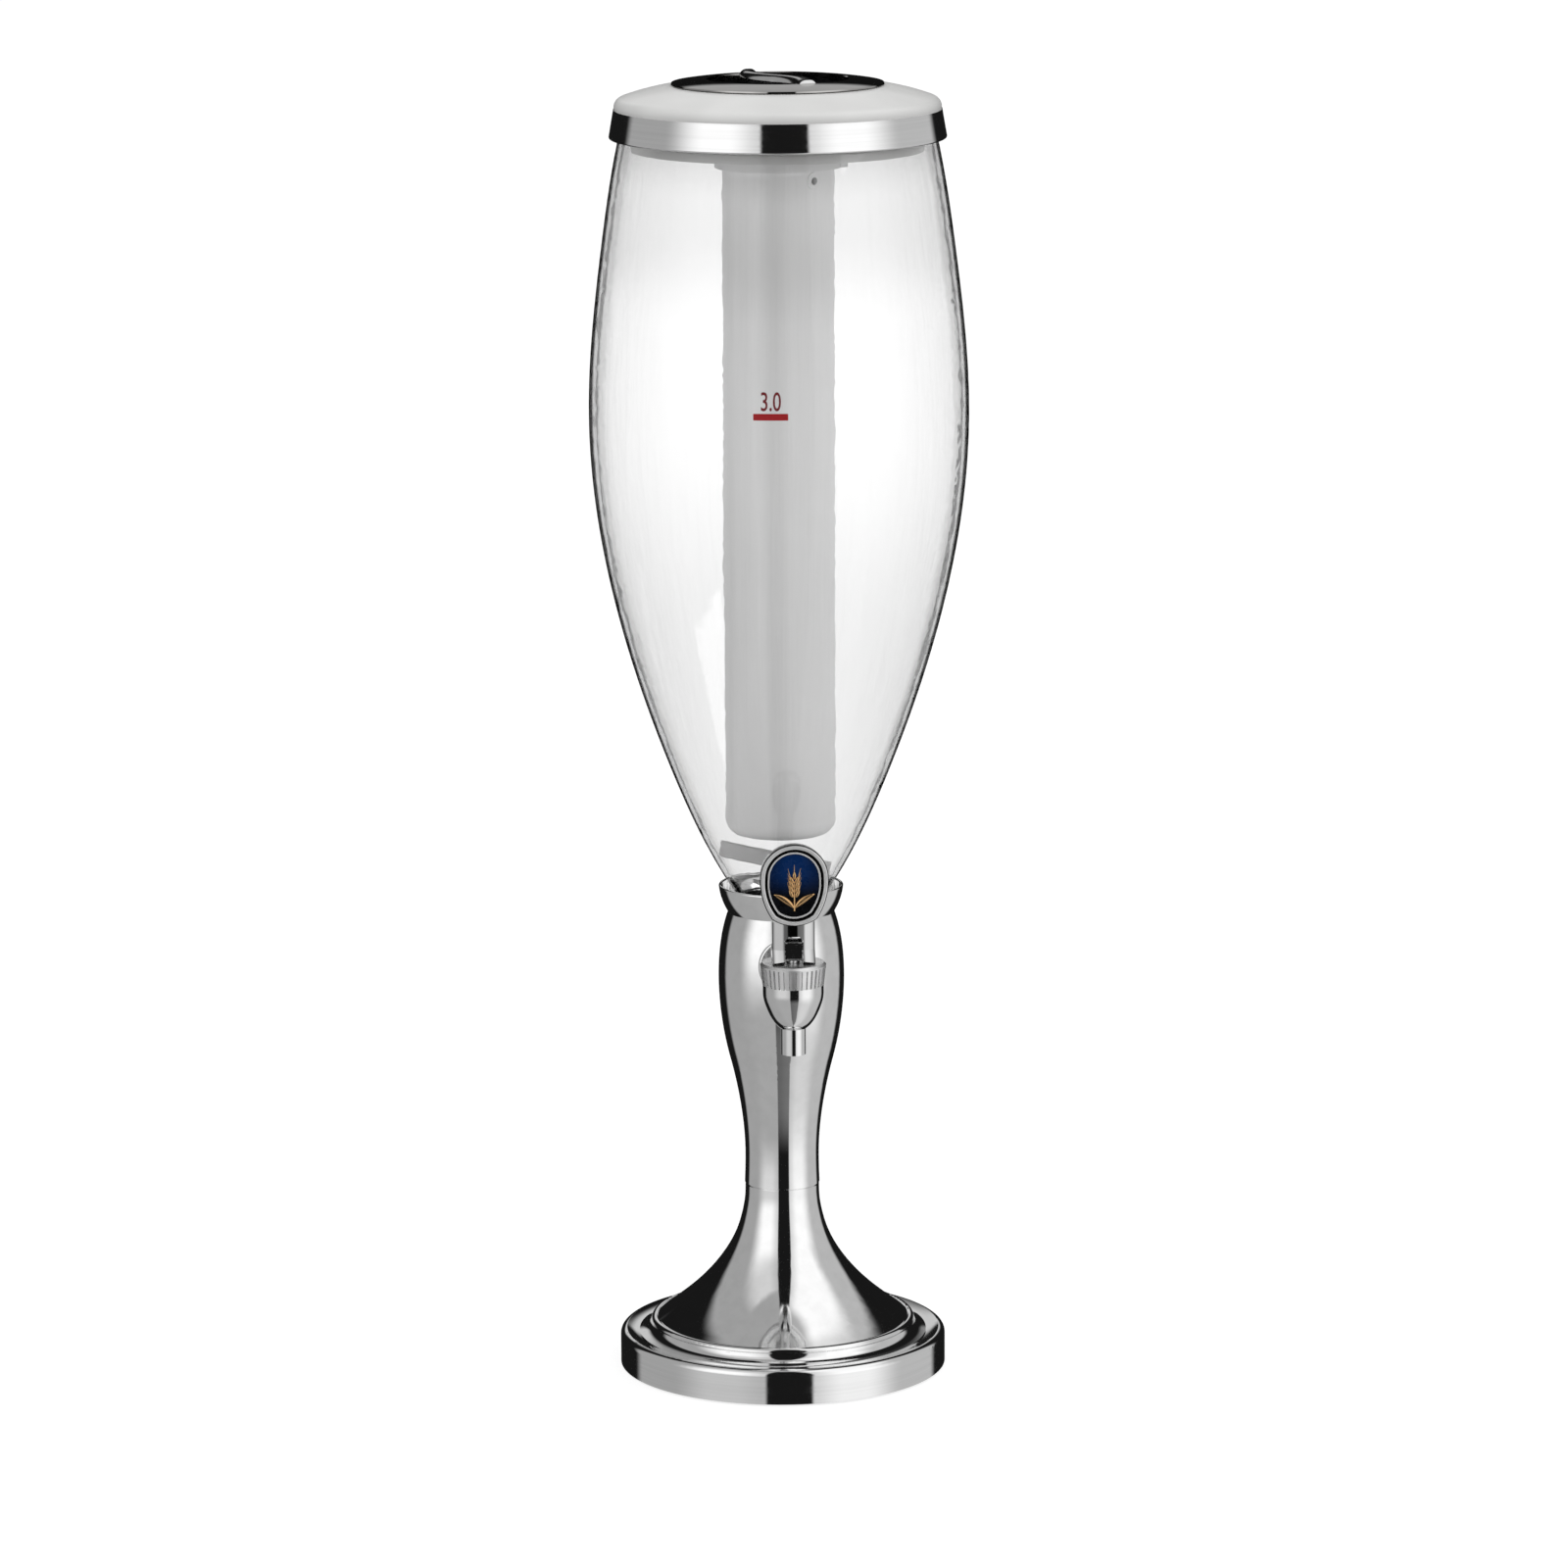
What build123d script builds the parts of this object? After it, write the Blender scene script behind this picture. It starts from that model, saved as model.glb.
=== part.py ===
from build123d import *
import os
from math import atan2, cos, degrees, pi, radians, sin, sqrt, tan

# Beer tower: a clear bulb on a chromed column, filled through its lid, with an ice tube that hangs
# from the lid's middle and a tap at the foot of the bulb.
# Millimetres. The origin is the middle of the footprint, +Z is up and the tap faces -Y.
# Heights marked "up" are measured from the piece below, so a taller piece lifts all above it.

# ---- Fits and clearances ----
RUNNING_GAP = 0.05  # round a pin or stem that moves, radial
SEAT_GAP = 0.1  # between fixed pieces that are pushed together
PASS_GAP = 0.3  # between pieces that move past each other

# ---- Base: rubber feet, foot ring with its ledge, bell and the weight inside ----
FOOT_R = 6.5
FOOT_THICK = 1.0
FOOT_CIRCLE_R = 38.0
FOOT_COUNT = 4
BAND_R = 66.8
BAND_LIFT = 0.5
BAND_HEIGHT = 14.2
BAND_EDGE_R = 2.6
BASE_WALL = 2.2
LEDGE_DIP = 1.3
LIP_R = 54.0
LIP_HEIGHT = 0.8
LIP_EDGE_R = 1.2
LIP_UNDERCUT = 0.4
COVE_R = 59.0
COVE_HEIGHT = 6.4
COVE_EDGE = 0.5
SHELF_R = 49.5
COVER_THICK = 1.6
COVER_HOLE_R = 11.0
SCREW_R = 1.6
SCREW_HEAD_R = 3.2
SCREW_LENGTH = 6.6
SCREW_CIRCLE_R = 59.6
SCREW_BOSS_R = 3.2
SCREW_COUNT = 4
WEIGHT_R = 54.0
WEIGHT_CORE_R = 45.5
WEIGHT_CORE_UP = 5.6
BELL_FOOT_R = 51.4
BELL_HEIGHT = 56.2
BELL_NECK_R = 15.1
BELL_POWER = 2.25
BELL_WALL = 2.2

# ---- Tie rod that clamps weight, base and column together ----
ROD_R = 4.0
NUT_FLATS = 13.0
NUT_THICK = 6.5
WASHER_R = 8.0
WASHER_THICK = 1.5
ROD_PROUD = 3.0

# ---- Column and collar ----
COLUMN_HEIGHT = 114.0
COLUMN_WALL = 1.6
COLUMN_LIP_R = 15.36
WAIST_R = 15.05
WAIST_UP = 12.0
SWELL_R = 21.1
SWELL_UP = 53.0
BULGE_R = 25.63
BULGE_UP = 87.0
COLUMN_TOP_R = 21.64
SPIGOT_DEPTH = 8.0
SEAM_BEVEL = 0.4
WEB_UP = 6.0
WEB_THICK = 4.0
COLLAR_HEIGHT = 11.2
COLLAR_RIM_R = 25.35
COLLAR_MID_R = 24.2
COLLAR_WALL = 1.3
COLLAR_FLOOR_UP = 2.4
COLLAR_SPIGOT = 7.0

# ---- Bulb ----
NECK_R = 17.8
NECK_DEPTH = 44.0
NECK_FLOOR = 2.4
CONE_UP = 4.0
CONE_ANGLE = 32.2
CONE_TOP_R = 21.9
BULB_WALL = 2.2
FLANK_R = 44.6
FLANK_UP = 53.6
SHOULDER_R = 64.5
SHOULDER_UP = 113.6
BELLY_R = 76.33
BELLY_UP = 198.6
CHEST_OUT = 10.1
CHEST_UP = 263.6
GASKET_ROUND_R = 1.5
STRIP_WIDTH = 6.6
STRIP_THICK = 2.4
STRIP_LEFT_UP = 17.0
STRIP_RIGHT_UP = 7.0

# ---- Lid; the bulb's mouth fits inside its band ----
LID_GASKET_THICK = 1.6
LID_BAND_TOP_R = 65.5
LID_BAND_FLARE = 2.0
LID_BAND_HEIGHT = 11.5
LID_BAND_WALL = 1.5
DOME_WALL = 2.4
DOME_EDGE_IN = 2.8
DOME_EDGE_DROP = 4.5
DOME_RISE = 5.0
MOUTH_IN = 4.6
SKIRT_GAP = 0.4
SKIRT_WALL = 2.0
SKIRT_DEPTH = 18.6
SKIRT_SHORT = 2.0

# ---- Middle cap, grip and ice tube ----
CAP_RING_R = 42.5
CAP_RING_OVERLAP = 1.3
CAP_RING_RISE = 2.6
CAP_LEDGE_DEPTH = 3.2
CAP_LEDGE_WIDTH = 3.7
CAP_LEDGE_THICK = 2.0
CAP_SEAL_THICK = 1.2
CAP_FLANGE_THICK = 1.6
WELL_R = 28.2
WELL_DEPTH = 9.0
WELL_WALL = 2.0
GRIP_UP = 4.0
GRIP_WIDTH = 7.0
GRIP_SWING = 4.5
GRIP_YAW = 16.0
TUBE_R = 22.4
TUBE_WALL = 1.8
TUBE_LENGTH = 277.0
TUBE_ROOM = 43.6
TUBE_FLOOR = 2.2
TUBE_CORNER_R = 6.0
TUBE_FLANGE_R = 25.2
TUBE_FLANGE_THICK = 6.8
TUBE_SPIGOT_UP = 9.5
SOCKET_R = 25.1
SOCKET_DEPTH = 14.7
LUG_R = 24.7
LUG_HEIGHT = 2.4
LUG_SPAN = 14.0
LUG_UP = 5.0
LUG_COUNT = 2
TWIST_ANGLE = 30.0
TAB_R = 27.6
TAB_WIDTH = 10.0
TAB_RIB = 1.0
VENT_R = 3.3
VENT_HOLE_R = 1.5
VENT_PROUD = 0.7
VENT_DROP = 3.9
VENT_AZIMUTH = -56.0

# ---- Tap ----
TAP_REACH = 58.0
TAP_BORE_R = 3.6
SHANK_UP = 97.0
SHANK_R = 6.0
SHANK_END = 7.0
FLANGE_R = 11.6
FLANGE_THICK = 2.6
ARM_R = 6.2
ARM_DROP = 6.8
ARM_BEND_R = 7.0
SADDLE_R = 9.6
SADDLE_THICK = 1.6
TAP_NUT_FLATS = 15.0
TAP_NUT_THICK = 4.0
BOWL_R = 12.2
BOWL_DEPTH = 17.9
BOWL_STRAIGHT = 3.0
BOWL_WALL = 1.8
BOWL_MID_R = 10.6
BOWL_MID_DEPTH = 10.0
SPOUT_R = 4.95
SPOUT_LENGTH = 10.7
SEAT_R = 5.4
SEAT_DEPTH = 14.9
COLLET_R = 10.7
COLLET_UP = 6.1
BOWL_DROP = 0.4
BONNET_R = 13.2
BONNET_FOOT_R = 12.3
BONNET_HEIGHT = 9.0
BONNET_TOP_THICK = 1.5
BONNET_BEVEL = 0.9
BONNET_RIBS = 36
RIB_DEPTH = 0.7
STEM_R = 2.6
PLUG_R = 6.4
PLUG_LENGTH = 6.5
EYE_WIDTH = 6.6
EYE_R = 3.4
PIN_R = 1.5
PIN_UP = 6.2
CAM_THROW = 3.0
TILT_ANGLE = 35.0

# ---- Fork handle and its medallion ----
FORK_WIDTH = 17.1
FORK_SLOT = 7.4
FORK_BACK = 4.2
FORK_FRONT = 5.3
FORK_FRONT_R = 14.0
FORK_SLOT_UP = 5.0
FORK_CHAMFER = 1.6
FORK_SHOULDER_UP = 13.5
BADGE_R = 13.65
BADGE_FOOT_R = 8.9
BADGE_WAIST_R = 12.5
BADGE_HEIGHT = 33.1
BADGE_UP = 10.0
BADGE_BACK = 1.2
PLATE_THICK = 2.8
BEZEL_THICK = 2.6
BEZEL_WIDTH = 2.3
GROOVE_WIDTH = 0.8
RIM_WIDTH = 0.7
INLAY_THICK = 1.5

# ---- Heights and radii that follow ----
BULB_HEIGHT = TUBE_LENGTH + TUBE_ROOM
MOUTH_R = LID_BAND_TOP_R - MOUTH_IN
CHEST_R = MOUTH_R + CHEST_OUT
LID_BAND_R = LID_BAND_TOP_R + LID_BAND_FLARE
DOME_EDGE_R = LID_BAND_TOP_R - DOME_EDGE_IN
SKIRT_R = MOUTH_R - BULB_WALL - SKIRT_GAP
Z_BAND_TOP = BAND_LIFT + BAND_HEIGHT
Z_SHELF = Z_BAND_TOP - LEDGE_DIP
Z_WEIGHT = FOOT_THICK + COVER_THICK
Z_WEIGHT_TOP = Z_SHELF - BASE_WALL
Z_BELL_FOOT = Z_SHELF + COVE_HEIGHT
Z_SEAM = Z_BELL_FOOT + BELL_HEIGHT
Z_WEB = Z_SEAM + WEB_UP
Z_COLLAR = Z_SEAM + COLUMN_HEIGHT
Z_COLLAR_FLOOR = Z_COLLAR + COLLAR_FLOOR_UP
Z_COLLAR_RIM = Z_COLLAR + COLLAR_HEIGHT
Z_CONE = Z_COLLAR_FLOOR + CONE_UP
CONE_SLOPE = tan(radians(CONE_ANGLE))
Z_MOUTH = Z_CONE + BULB_HEIGHT
Z_LID_SEAT = Z_MOUTH + LID_GASKET_THICK
Z_SHOULDER = Z_LID_SEAT + DOME_WALL
Z_CROWN = Z_SHOULDER + DOME_RISE
Z_LID_BAND_TOP = Z_SHOULDER - DOME_EDGE_DROP
Z_LID_BAND = Z_LID_BAND_TOP - LID_BAND_HEIGHT
Z_CAP_LEDGE = Z_CROWN - CAP_LEDGE_DEPTH
Z_CAP_FLANGE = Z_CAP_LEDGE + CAP_SEAL_THICK
Z_CAP_TOP = Z_CAP_FLANGE + CAP_FLANGE_THICK
Z_WELL = Z_CROWN - WELL_DEPTH
Z_SOCKET_TOP = Z_WELL - WELL_WALL
Z_SOCKET = Z_SOCKET_TOP - SOCKET_DEPTH
Z_FLANGE_TOP = Z_SOCKET - PASS_GAP
Z_FLANGE = Z_FLANGE_TOP - TUBE_FLANGE_THICK
Z_TUBE = Z_FLANGE_TOP - TUBE_LENGTH
CAP_HOLE_R = CAP_RING_R - CAP_RING_OVERLAP
CAP_PLUG_R = CAP_HOLE_R - CAP_LEDGE_WIDTH - PASS_GAP
SPIGOT_R = BELL_NECK_R - BELL_WALL - SEAT_GAP
COLLAR_SPIGOT_R = COLUMN_TOP_R - COLUMN_WALL - SEAT_GAP
COLLAR_BORE_R = NECK_R + PASS_GAP
Z_SHANK = Z_SEAM + SHANK_UP
Z_ARM = Z_SHANK - ARM_DROP
Z_BOWL = Z_SHANK - BOWL_DROP
Z_SPOUT_TOP = Z_BOWL - BOWL_DEPTH
Z_SPOUT = Z_SPOUT_TOP - SPOUT_LENGTH
Z_SEAT = Z_BOWL - SEAT_DEPTH
Z_BONNET_TOP = Z_BOWL + BONNET_HEIGHT
Z_PIN = Z_BONNET_TOP + SEAT_GAP + PIN_UP
Y_FLANGE = -(BULGE_R + SADDLE_THICK)
Y_NECK_FLAT = -sqrt((NECK_R - BULB_WALL) ** 2 - (TAP_NUT_FLATS / 2 + 1) ** 2)
Y_BADGE = -FORK_BACK + BADGE_BACK

MIDDLE = (Align.CENTER, Align.CENTER, Align.MIN)
TAP_AXIS = Pos(0, -TAP_REACH, 0)


# ---- Helpers ----
def spot(radius, height):
    """Point of a turned outline."""
    return Vector(radius, 0, height)


def outline(*parts):
    """Face inside a closed outline of curves and corners, with straight runs between them."""
    edges = []
    first = last = None
    for part in parts:
        corner = isinstance(part, Vector)
        start = part if corner else part @ 0
        if last is None:
            first = start
        elif (start - last).length > 1e-6:
            edges.append(Line(last, start))
        if not corner:
            edges.append(part)
        last = part if corner else part @ 1
    if (first - last).length > 1e-6:
        edges.append(Line(last, first))
    return make_face(edges)


def turned(*parts, arc=360):
    """Solid of revolution about Z of the outline that the curves and corners close."""
    return revolve(outline(*parts), Axis.Z, arc)


def ring(inner, outer, low, high, arc=360):
    """Plain ring, or a part of one that starts at +X."""
    return turned(spot(inner, low), spot(outer, low), spot(outer, high), spot(inner, high), arc=arc)


def rod(radius, low, high):
    """Upright round bar on the Z axis."""
    return Pos(0, 0, low) * Cylinder(radius, high - low, align=MIDDLE)


def bar_y(radius, start, end, height=0.0):
    """Round bar along Y at a height."""
    middle = (start + end) / 2
    return Pos(0, middle, height) * Rot(90, 0, 0) * Cylinder(radius, abs(end - start))


def hexagon(flats, low, high, bore):
    """Hexagon nut on the Z axis."""
    blank = extrude(RegularPolygon(flats / 2, 6, major_radius=False), high - low)
    return Pos(0, 0, low) * blank - rod(bore, low - 1, high + 1)


def save(name, solid):
    """Write one piece."""
    export_step(solid, "parts/" + name + ".step")


# ---- Outlines shared by a shell and what fits in it ----
def bell_curve(inset):
    """Flare of the bell from its foot up to its neck, moved towards the axis by inset."""
    steps = [step / 6 for step in range(7)]
    spread = BELL_FOOT_R - BELL_NECK_R
    points = [
        spot(BELL_NECK_R - inset + spread * (1 - step) ** BELL_POWER, Z_BELL_FOOT + BELL_HEIGHT * step)
        for step in steps
    ]
    foot_slope = Vector(-spread * BELL_POWER / BELL_HEIGHT, 0, 1)
    return Spline(*points, tangents=[foot_slope, (0, 0, 1)])


def column_curve(inset):
    """Waist, swell and shoulder of the column, upwards, moved towards the axis by inset."""
    points = [
        spot(COLUMN_LIP_R - inset, Z_SEAM),
        spot(WAIST_R - inset, Z_SEAM + WAIST_UP),
        spot(SWELL_R - inset, Z_SEAM + SWELL_UP),
        spot(BULGE_R - inset, Z_SEAM + BULGE_UP),
        spot(COLUMN_TOP_R - inset, Z_COLLAR),
    ]
    rise = Vector(0, 0, 1)
    slopes = [Vector(-0.05, 0, 1), rise, Vector(0.27, 0, 1), rise, Vector(-0.36, 0, 1)]
    return Spline(*points, tangents=slopes)


def bulb_curve(inset):
    """Side of the bulb from the top of its cone up to its mouth."""
    points = [
        spot(CONE_TOP_R - inset, cone_height(CONE_TOP_R)),
        spot(FLANK_R - inset, Z_CONE + FLANK_UP),
        spot(SHOULDER_R - inset, Z_CONE + SHOULDER_UP),
        spot(BELLY_R - inset, Z_CONE + BELLY_UP),
        spot(CHEST_R - inset, Z_CONE + CHEST_UP),
        spot(MOUTH_R - inset, Z_MOUTH),
    ]
    return Spline(*points, tangents=[Vector(CONE_SLOPE, 0, 1), Vector(-0.25, 0, 1)])


def cone_height(radius):
    """Height at which the outside of the bulb's cone has a radius."""
    return Z_CONE + (radius - NECK_R) / CONE_SLOPE


def reverse(curve):
    """The same curve, run from its end to its start."""
    return Edge(curve.wrapped).reversed(reconstruct=True)


def radius_at(curve, height):
    """Radius of an outline that only rises, at a height."""
    low, high = 0.0, 1.0
    for _ in range(40):
        middle = (low + high) / 2
        if (curve @ middle).Z < height:
            low = middle
        else:
            high = middle
    return (curve @ low).X


# ---- Base ----
def rubber_feet():
    foot = chamfer(rod(FOOT_R, 0, FOOT_THICK).edges().sort_by(Axis.Z)[0], FOOT_THICK * 0.3)
    return Compound([spot_ * foot for spot_ in PolarLocations(FOOT_CIRCLE_R, FOOT_COUNT, 45)])


def base_cover():
    cover = ring(COVER_HOLE_R, BAND_R - BASE_WALL - SEAT_GAP, FOOT_THICK, Z_WEIGHT)
    for place in PolarLocations(SCREW_CIRCLE_R, SCREW_COUNT):
        cover -= place * screw_shape(SEAT_GAP)
    return cover


def screw_shape(gap):
    """Countersunk screw, head down, grown by a gap."""
    head_height = SCREW_HEAD_R - SCREW_R
    low = FOOT_THICK
    return turned(
        spot(0, low),
        spot(SCREW_HEAD_R + gap, low),
        spot(SCREW_R + gap, low + head_height * 0.8),
        spot(SCREW_R + gap, low + SCREW_LENGTH),
        spot(0, low + SCREW_LENGTH),
    )


def base_screws():
    return Compound([place * screw_shape(0) for place in PolarLocations(SCREW_CIRCLE_R, SCREW_COUNT)])


def ballast_weight():
    """Cast disc that hangs under the shelf, with a pocket for the lower nut of the tie rod."""
    pocket_top = Z_WEIGHT + WASHER_THICK + NUT_THICK + 1
    core_top = Z_WEIGHT_TOP + WEIGHT_CORE_UP
    weight = rod(WEIGHT_R, Z_WEIGHT, Z_WEIGHT_TOP)
    core = rod(WEIGHT_CORE_R, Z_WEIGHT_TOP, core_top)
    core = chamfer(core.edges().sort_by(Axis.Z)[-1], 2)
    pocket = rod(WASHER_R + 1.5, Z_WEIGHT, pocket_top)
    return weight + core - pocket - rod(ROD_R + PASS_GAP, Z_WEIGHT, core_top)


def base_ring():
    """Foot ring: a rounded band, a dished ledge and the shelf that the bell stands on."""
    inner_wall = BAND_R - BASE_WALL
    edge_centre_z = Z_BAND_TOP - BAND_EDGE_R
    corner = BAND_EDGE_R * (1 - sqrt(0.5))
    band_edge = ThreePointArc(
        spot(BAND_R, edge_centre_z),
        spot(BAND_R - corner, Z_BAND_TOP - corner),
        spot(BAND_R - BAND_EDGE_R, Z_BAND_TOP),
    )
    ledge_start = COVE_R + SEAT_GAP
    ledge_middle = (ledge_start + BAND_R - BAND_EDGE_R) / 2
    ledge = ThreePointArc(
        spot(BAND_R - BAND_EDGE_R, Z_BAND_TOP),
        spot(ledge_middle, Z_SHELF + LEDGE_DIP * 0.3),
        spot(ledge_start, Z_SHELF),
    )
    shell = turned(
        spot(inner_wall, BAND_LIFT),
        spot(BAND_R, BAND_LIFT),
        band_edge,
        ledge,
        spot(SHELF_R, Z_SHELF),
        spot(SHELF_R, Z_WEIGHT_TOP),
        spot(inner_wall, Z_WEIGHT_TOP),
    )
    boss = rod(SCREW_BOSS_R, Z_WEIGHT, Z_WEIGHT_TOP + BASE_WALL / 2)
    for place in PolarLocations(SCREW_CIRCLE_R, SCREW_COUNT):
        shell += place * boss
    for place in PolarLocations(SCREW_CIRCLE_R, SCREW_COUNT):
        shell -= place * rod(SCREW_R, Z_WEIGHT, FOOT_THICK + SCREW_LENGTH)
    return shell


def base_bell():
    """Chromed bell whose foot ends in a rounded lip over a cove, hollow, open for the column's spigot."""
    lip_under = spot(LIP_R - LIP_UNDERCUT, Z_BELL_FOOT - LIP_EDGE_R - LIP_HEIGHT)
    edge = ThreePointArc(
        spot(LIP_R, Z_BELL_FOOT - LIP_EDGE_R),
        spot(LIP_R - LIP_EDGE_R * 0.35, Z_BELL_FOOT - LIP_EDGE_R * 0.3),
        spot(BELL_FOOT_R + 0.4, Z_BELL_FOOT + 0.1),
    )
    cove = Spline(
        spot(COVE_R, Z_SHELF + COVE_EDGE), lip_under, tangents=[(-1, 0, 0.25), (-0.12, 0, 1)]
    )
    inner = reverse(bell_curve(BELL_WALL))
    foot_inner = LIP_R - BELL_WALL
    bell = turned(
        spot(COVE_R, Z_SHELF),
        cove,
        edge,
        bell_curve(0),
        inner,
        spot(foot_inner, Z_BELL_FOOT - BELL_WALL * 1.4),
        spot(foot_inner, Z_SHELF),
    )
    neck_edges = bell.edges().filter_by(GeomType.CIRCLE).group_by(Axis.Z)[-1]
    return chamfer(neck_edges.sort_by(SortBy.RADIUS)[-1], SEAM_BEVEL)


# ---- Column ----
def column_space(inset):
    """Everything inside the column's outer skin, moved in by inset."""
    return turned(column_curve(inset), spot(0, Z_COLLAR), spot(0, Z_SEAM))


def column():
    """Upper column with its spigot, the web that the tie rod pulls on and the hole for the tap."""
    web_top = Z_WEB + WEB_THICK
    hollow = column_space(COLUMN_WALL) - rod(BULGE_R, Z_SEAM, web_top)
    skin = column_space(0)
    skin = chamfer(skin.edges().filter_by(GeomType.CIRCLE).sort_by(Axis.Z)[0], SEAM_BEVEL)
    shell = skin - hollow
    shell += rod(SPIGOT_R, Z_SEAM - SPIGOT_DEPTH, Z_SEAM)
    shell -= rod(SPIGOT_R - BELL_WALL, Z_SEAM - SPIGOT_DEPTH, Z_WEB)
    shell -= rod(ROD_R + PASS_GAP, Z_WEB, web_top)
    return shell - bar_y(SHANK_R + SEAT_GAP, 0, -BULGE_R - 5, Z_SHANK)


def tie_rod():
    low = Z_WEIGHT + WASHER_THICK + 1 - ROD_PROUD / 2
    high = Z_WEB + WEB_THICK + WASHER_THICK + NUT_THICK + ROD_PROUD
    bar = rod(ROD_R, low, high)
    return chamfer(bar.edges().filter_by(GeomType.CIRCLE), ROD_R * 0.2)


def tie_washers():
    pocket_top = Z_WEIGHT + WASHER_THICK + NUT_THICK + 1
    web_top = Z_WEB + WEB_THICK
    lower = ring(ROD_R + SEAT_GAP, WASHER_R, pocket_top - WASHER_THICK, pocket_top)
    upper = ring(ROD_R + SEAT_GAP, WASHER_R, web_top, web_top + WASHER_THICK)
    return Compound([lower, upper])


def tie_nuts():
    pocket_top = Z_WEIGHT + WASHER_THICK + NUT_THICK + 1
    low = pocket_top - WASHER_THICK
    high = Z_WEB + WEB_THICK + WASHER_THICK
    lower = hexagon(NUT_FLATS, low - NUT_THICK, low, ROD_R)
    upper = hexagon(NUT_FLATS, high, high + NUT_THICK, ROD_R)
    return Compound([lower, upper])


def collar_cup():
    """Open chromed cup on top of the column that the bulb's cone stands in."""
    low = Z_COLLAR
    mid = (Z_COLLAR + Z_COLLAR_RIM) / 2 - 0.2
    outside = ThreePointArc(
        spot(COLUMN_TOP_R, low), spot(COLLAR_MID_R, mid), spot(COLLAR_RIM_R, Z_COLLAR_RIM - 0.6)
    )
    inside = ThreePointArc(
        spot(COLLAR_RIM_R - COLLAR_WALL, Z_COLLAR_RIM - 0.6),
        spot(COLLAR_MID_R - COLLAR_WALL, mid + 0.4),
        spot(COLUMN_TOP_R - COLLAR_WALL + 0.6, Z_COLLAR_FLOOR),
    )
    rim = ThreePointArc(
        outside @ 1, spot(COLLAR_RIM_R - COLLAR_WALL / 2, Z_COLLAR_RIM), inside @ 0
    )
    return turned(
        outside,
        rim,
        inside,
        spot(COLLAR_BORE_R, Z_COLLAR_FLOOR),
        spot(COLLAR_BORE_R, Z_COLLAR - COLLAR_SPIGOT),
        spot(COLLAR_SPIGOT_R, Z_COLLAR - COLLAR_SPIGOT),
        spot(COLLAR_SPIGOT_R, Z_COLLAR),
    )


def neck_gasket():
    """Round rubber ring that lies on the collar's floor, against the bulb's cone."""
    reach = GASKET_ROUND_R + SEAT_GAP
    centre_z = Z_COLLAR_FLOOR + GASKET_ROUND_R
    cone_r = NECK_R + (centre_z - Z_CONE) * CONE_SLOPE
    beside_cone = cone_r + reach / cos(radians(CONE_ANGLE))
    centre_r = max(beside_cone, NECK_R + reach)
    section = Plane.XZ * Pos(centre_r, centre_z) * Circle(GASKET_ROUND_R)
    return revolve(section, Axis.Z)


# ---- Bulb ----
def bulb_space(inset, low):
    """Everything inside the bulb's skin, moved in by inset, from a height up to the mouth."""
    side = bulb_curve(inset)
    return turned(
        spot(0, low), spot(NECK_R - inset, low), spot(NECK_R - inset, Z_CONE), side, spot(0, Z_MOUTH)
    )


def bulb():
    """Clear shell with a closed neck that stands in the column, bored for the tap."""
    low = Z_CONE - NECK_DEPTH
    skin = bulb_space(0, low)
    skin = fillet(skin.edges().sort_by(Axis.Z)[0], NECK_FLOOR * 1.5)
    shell = skin - bulb_space(BULB_WALL, low + NECK_FLOOR)
    return shell - bar_y(SHANK_R + SEAT_GAP, 0, -BULGE_R - 5, Z_SHANK)


def throat_strip():
    """Frosted strip that lies across the narrow end of the bulb, lower at +X."""
    wall = bulb_curve(BULB_WALL)
    z_left = Z_CONE + STRIP_LEFT_UP
    z_right = Z_CONE + STRIP_RIGHT_UP
    left = Vector(PASS_GAP - radius_at(wall, z_left), 0, z_left)
    right = Vector(radius_at(wall, z_right) - PASS_GAP, 0, z_right)
    along = right - left
    lean = degrees(atan2(-along.Z, along.X))
    blank = Box(along.length, STRIP_THICK, STRIP_WIDTH, align=(Align.MIN, Align.CENTER, Align.MIN))
    blank = fillet(blank.edges().filter_by(Axis.X), STRIP_THICK * 0.3)
    return Pos(*left) * Rot(0, lean, 0) * blank


# ---- Lid ----
def band_radius(height):
    """Outside radius of the lid's tapered band at a height."""
    share = (Z_LID_BAND_TOP - height) / LID_BAND_HEIGHT
    return LID_BAND_TOP_R + (LID_BAND_R - LID_BAND_TOP_R) * share


def lid_band():
    band = turned(
        spot(LID_BAND_R - LID_BAND_WALL, Z_LID_BAND),
        spot(LID_BAND_R, Z_LID_BAND),
        spot(LID_BAND_TOP_R, Z_LID_BAND_TOP),
        spot(LID_BAND_TOP_R - LID_BAND_WALL, Z_LID_BAND_TOP),
    )
    return fillet(band.edges().group_by(Axis.Z)[0].sort_by(SortBy.LENGTH)[-1], LID_BAND_WALL * 0.4)


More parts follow.
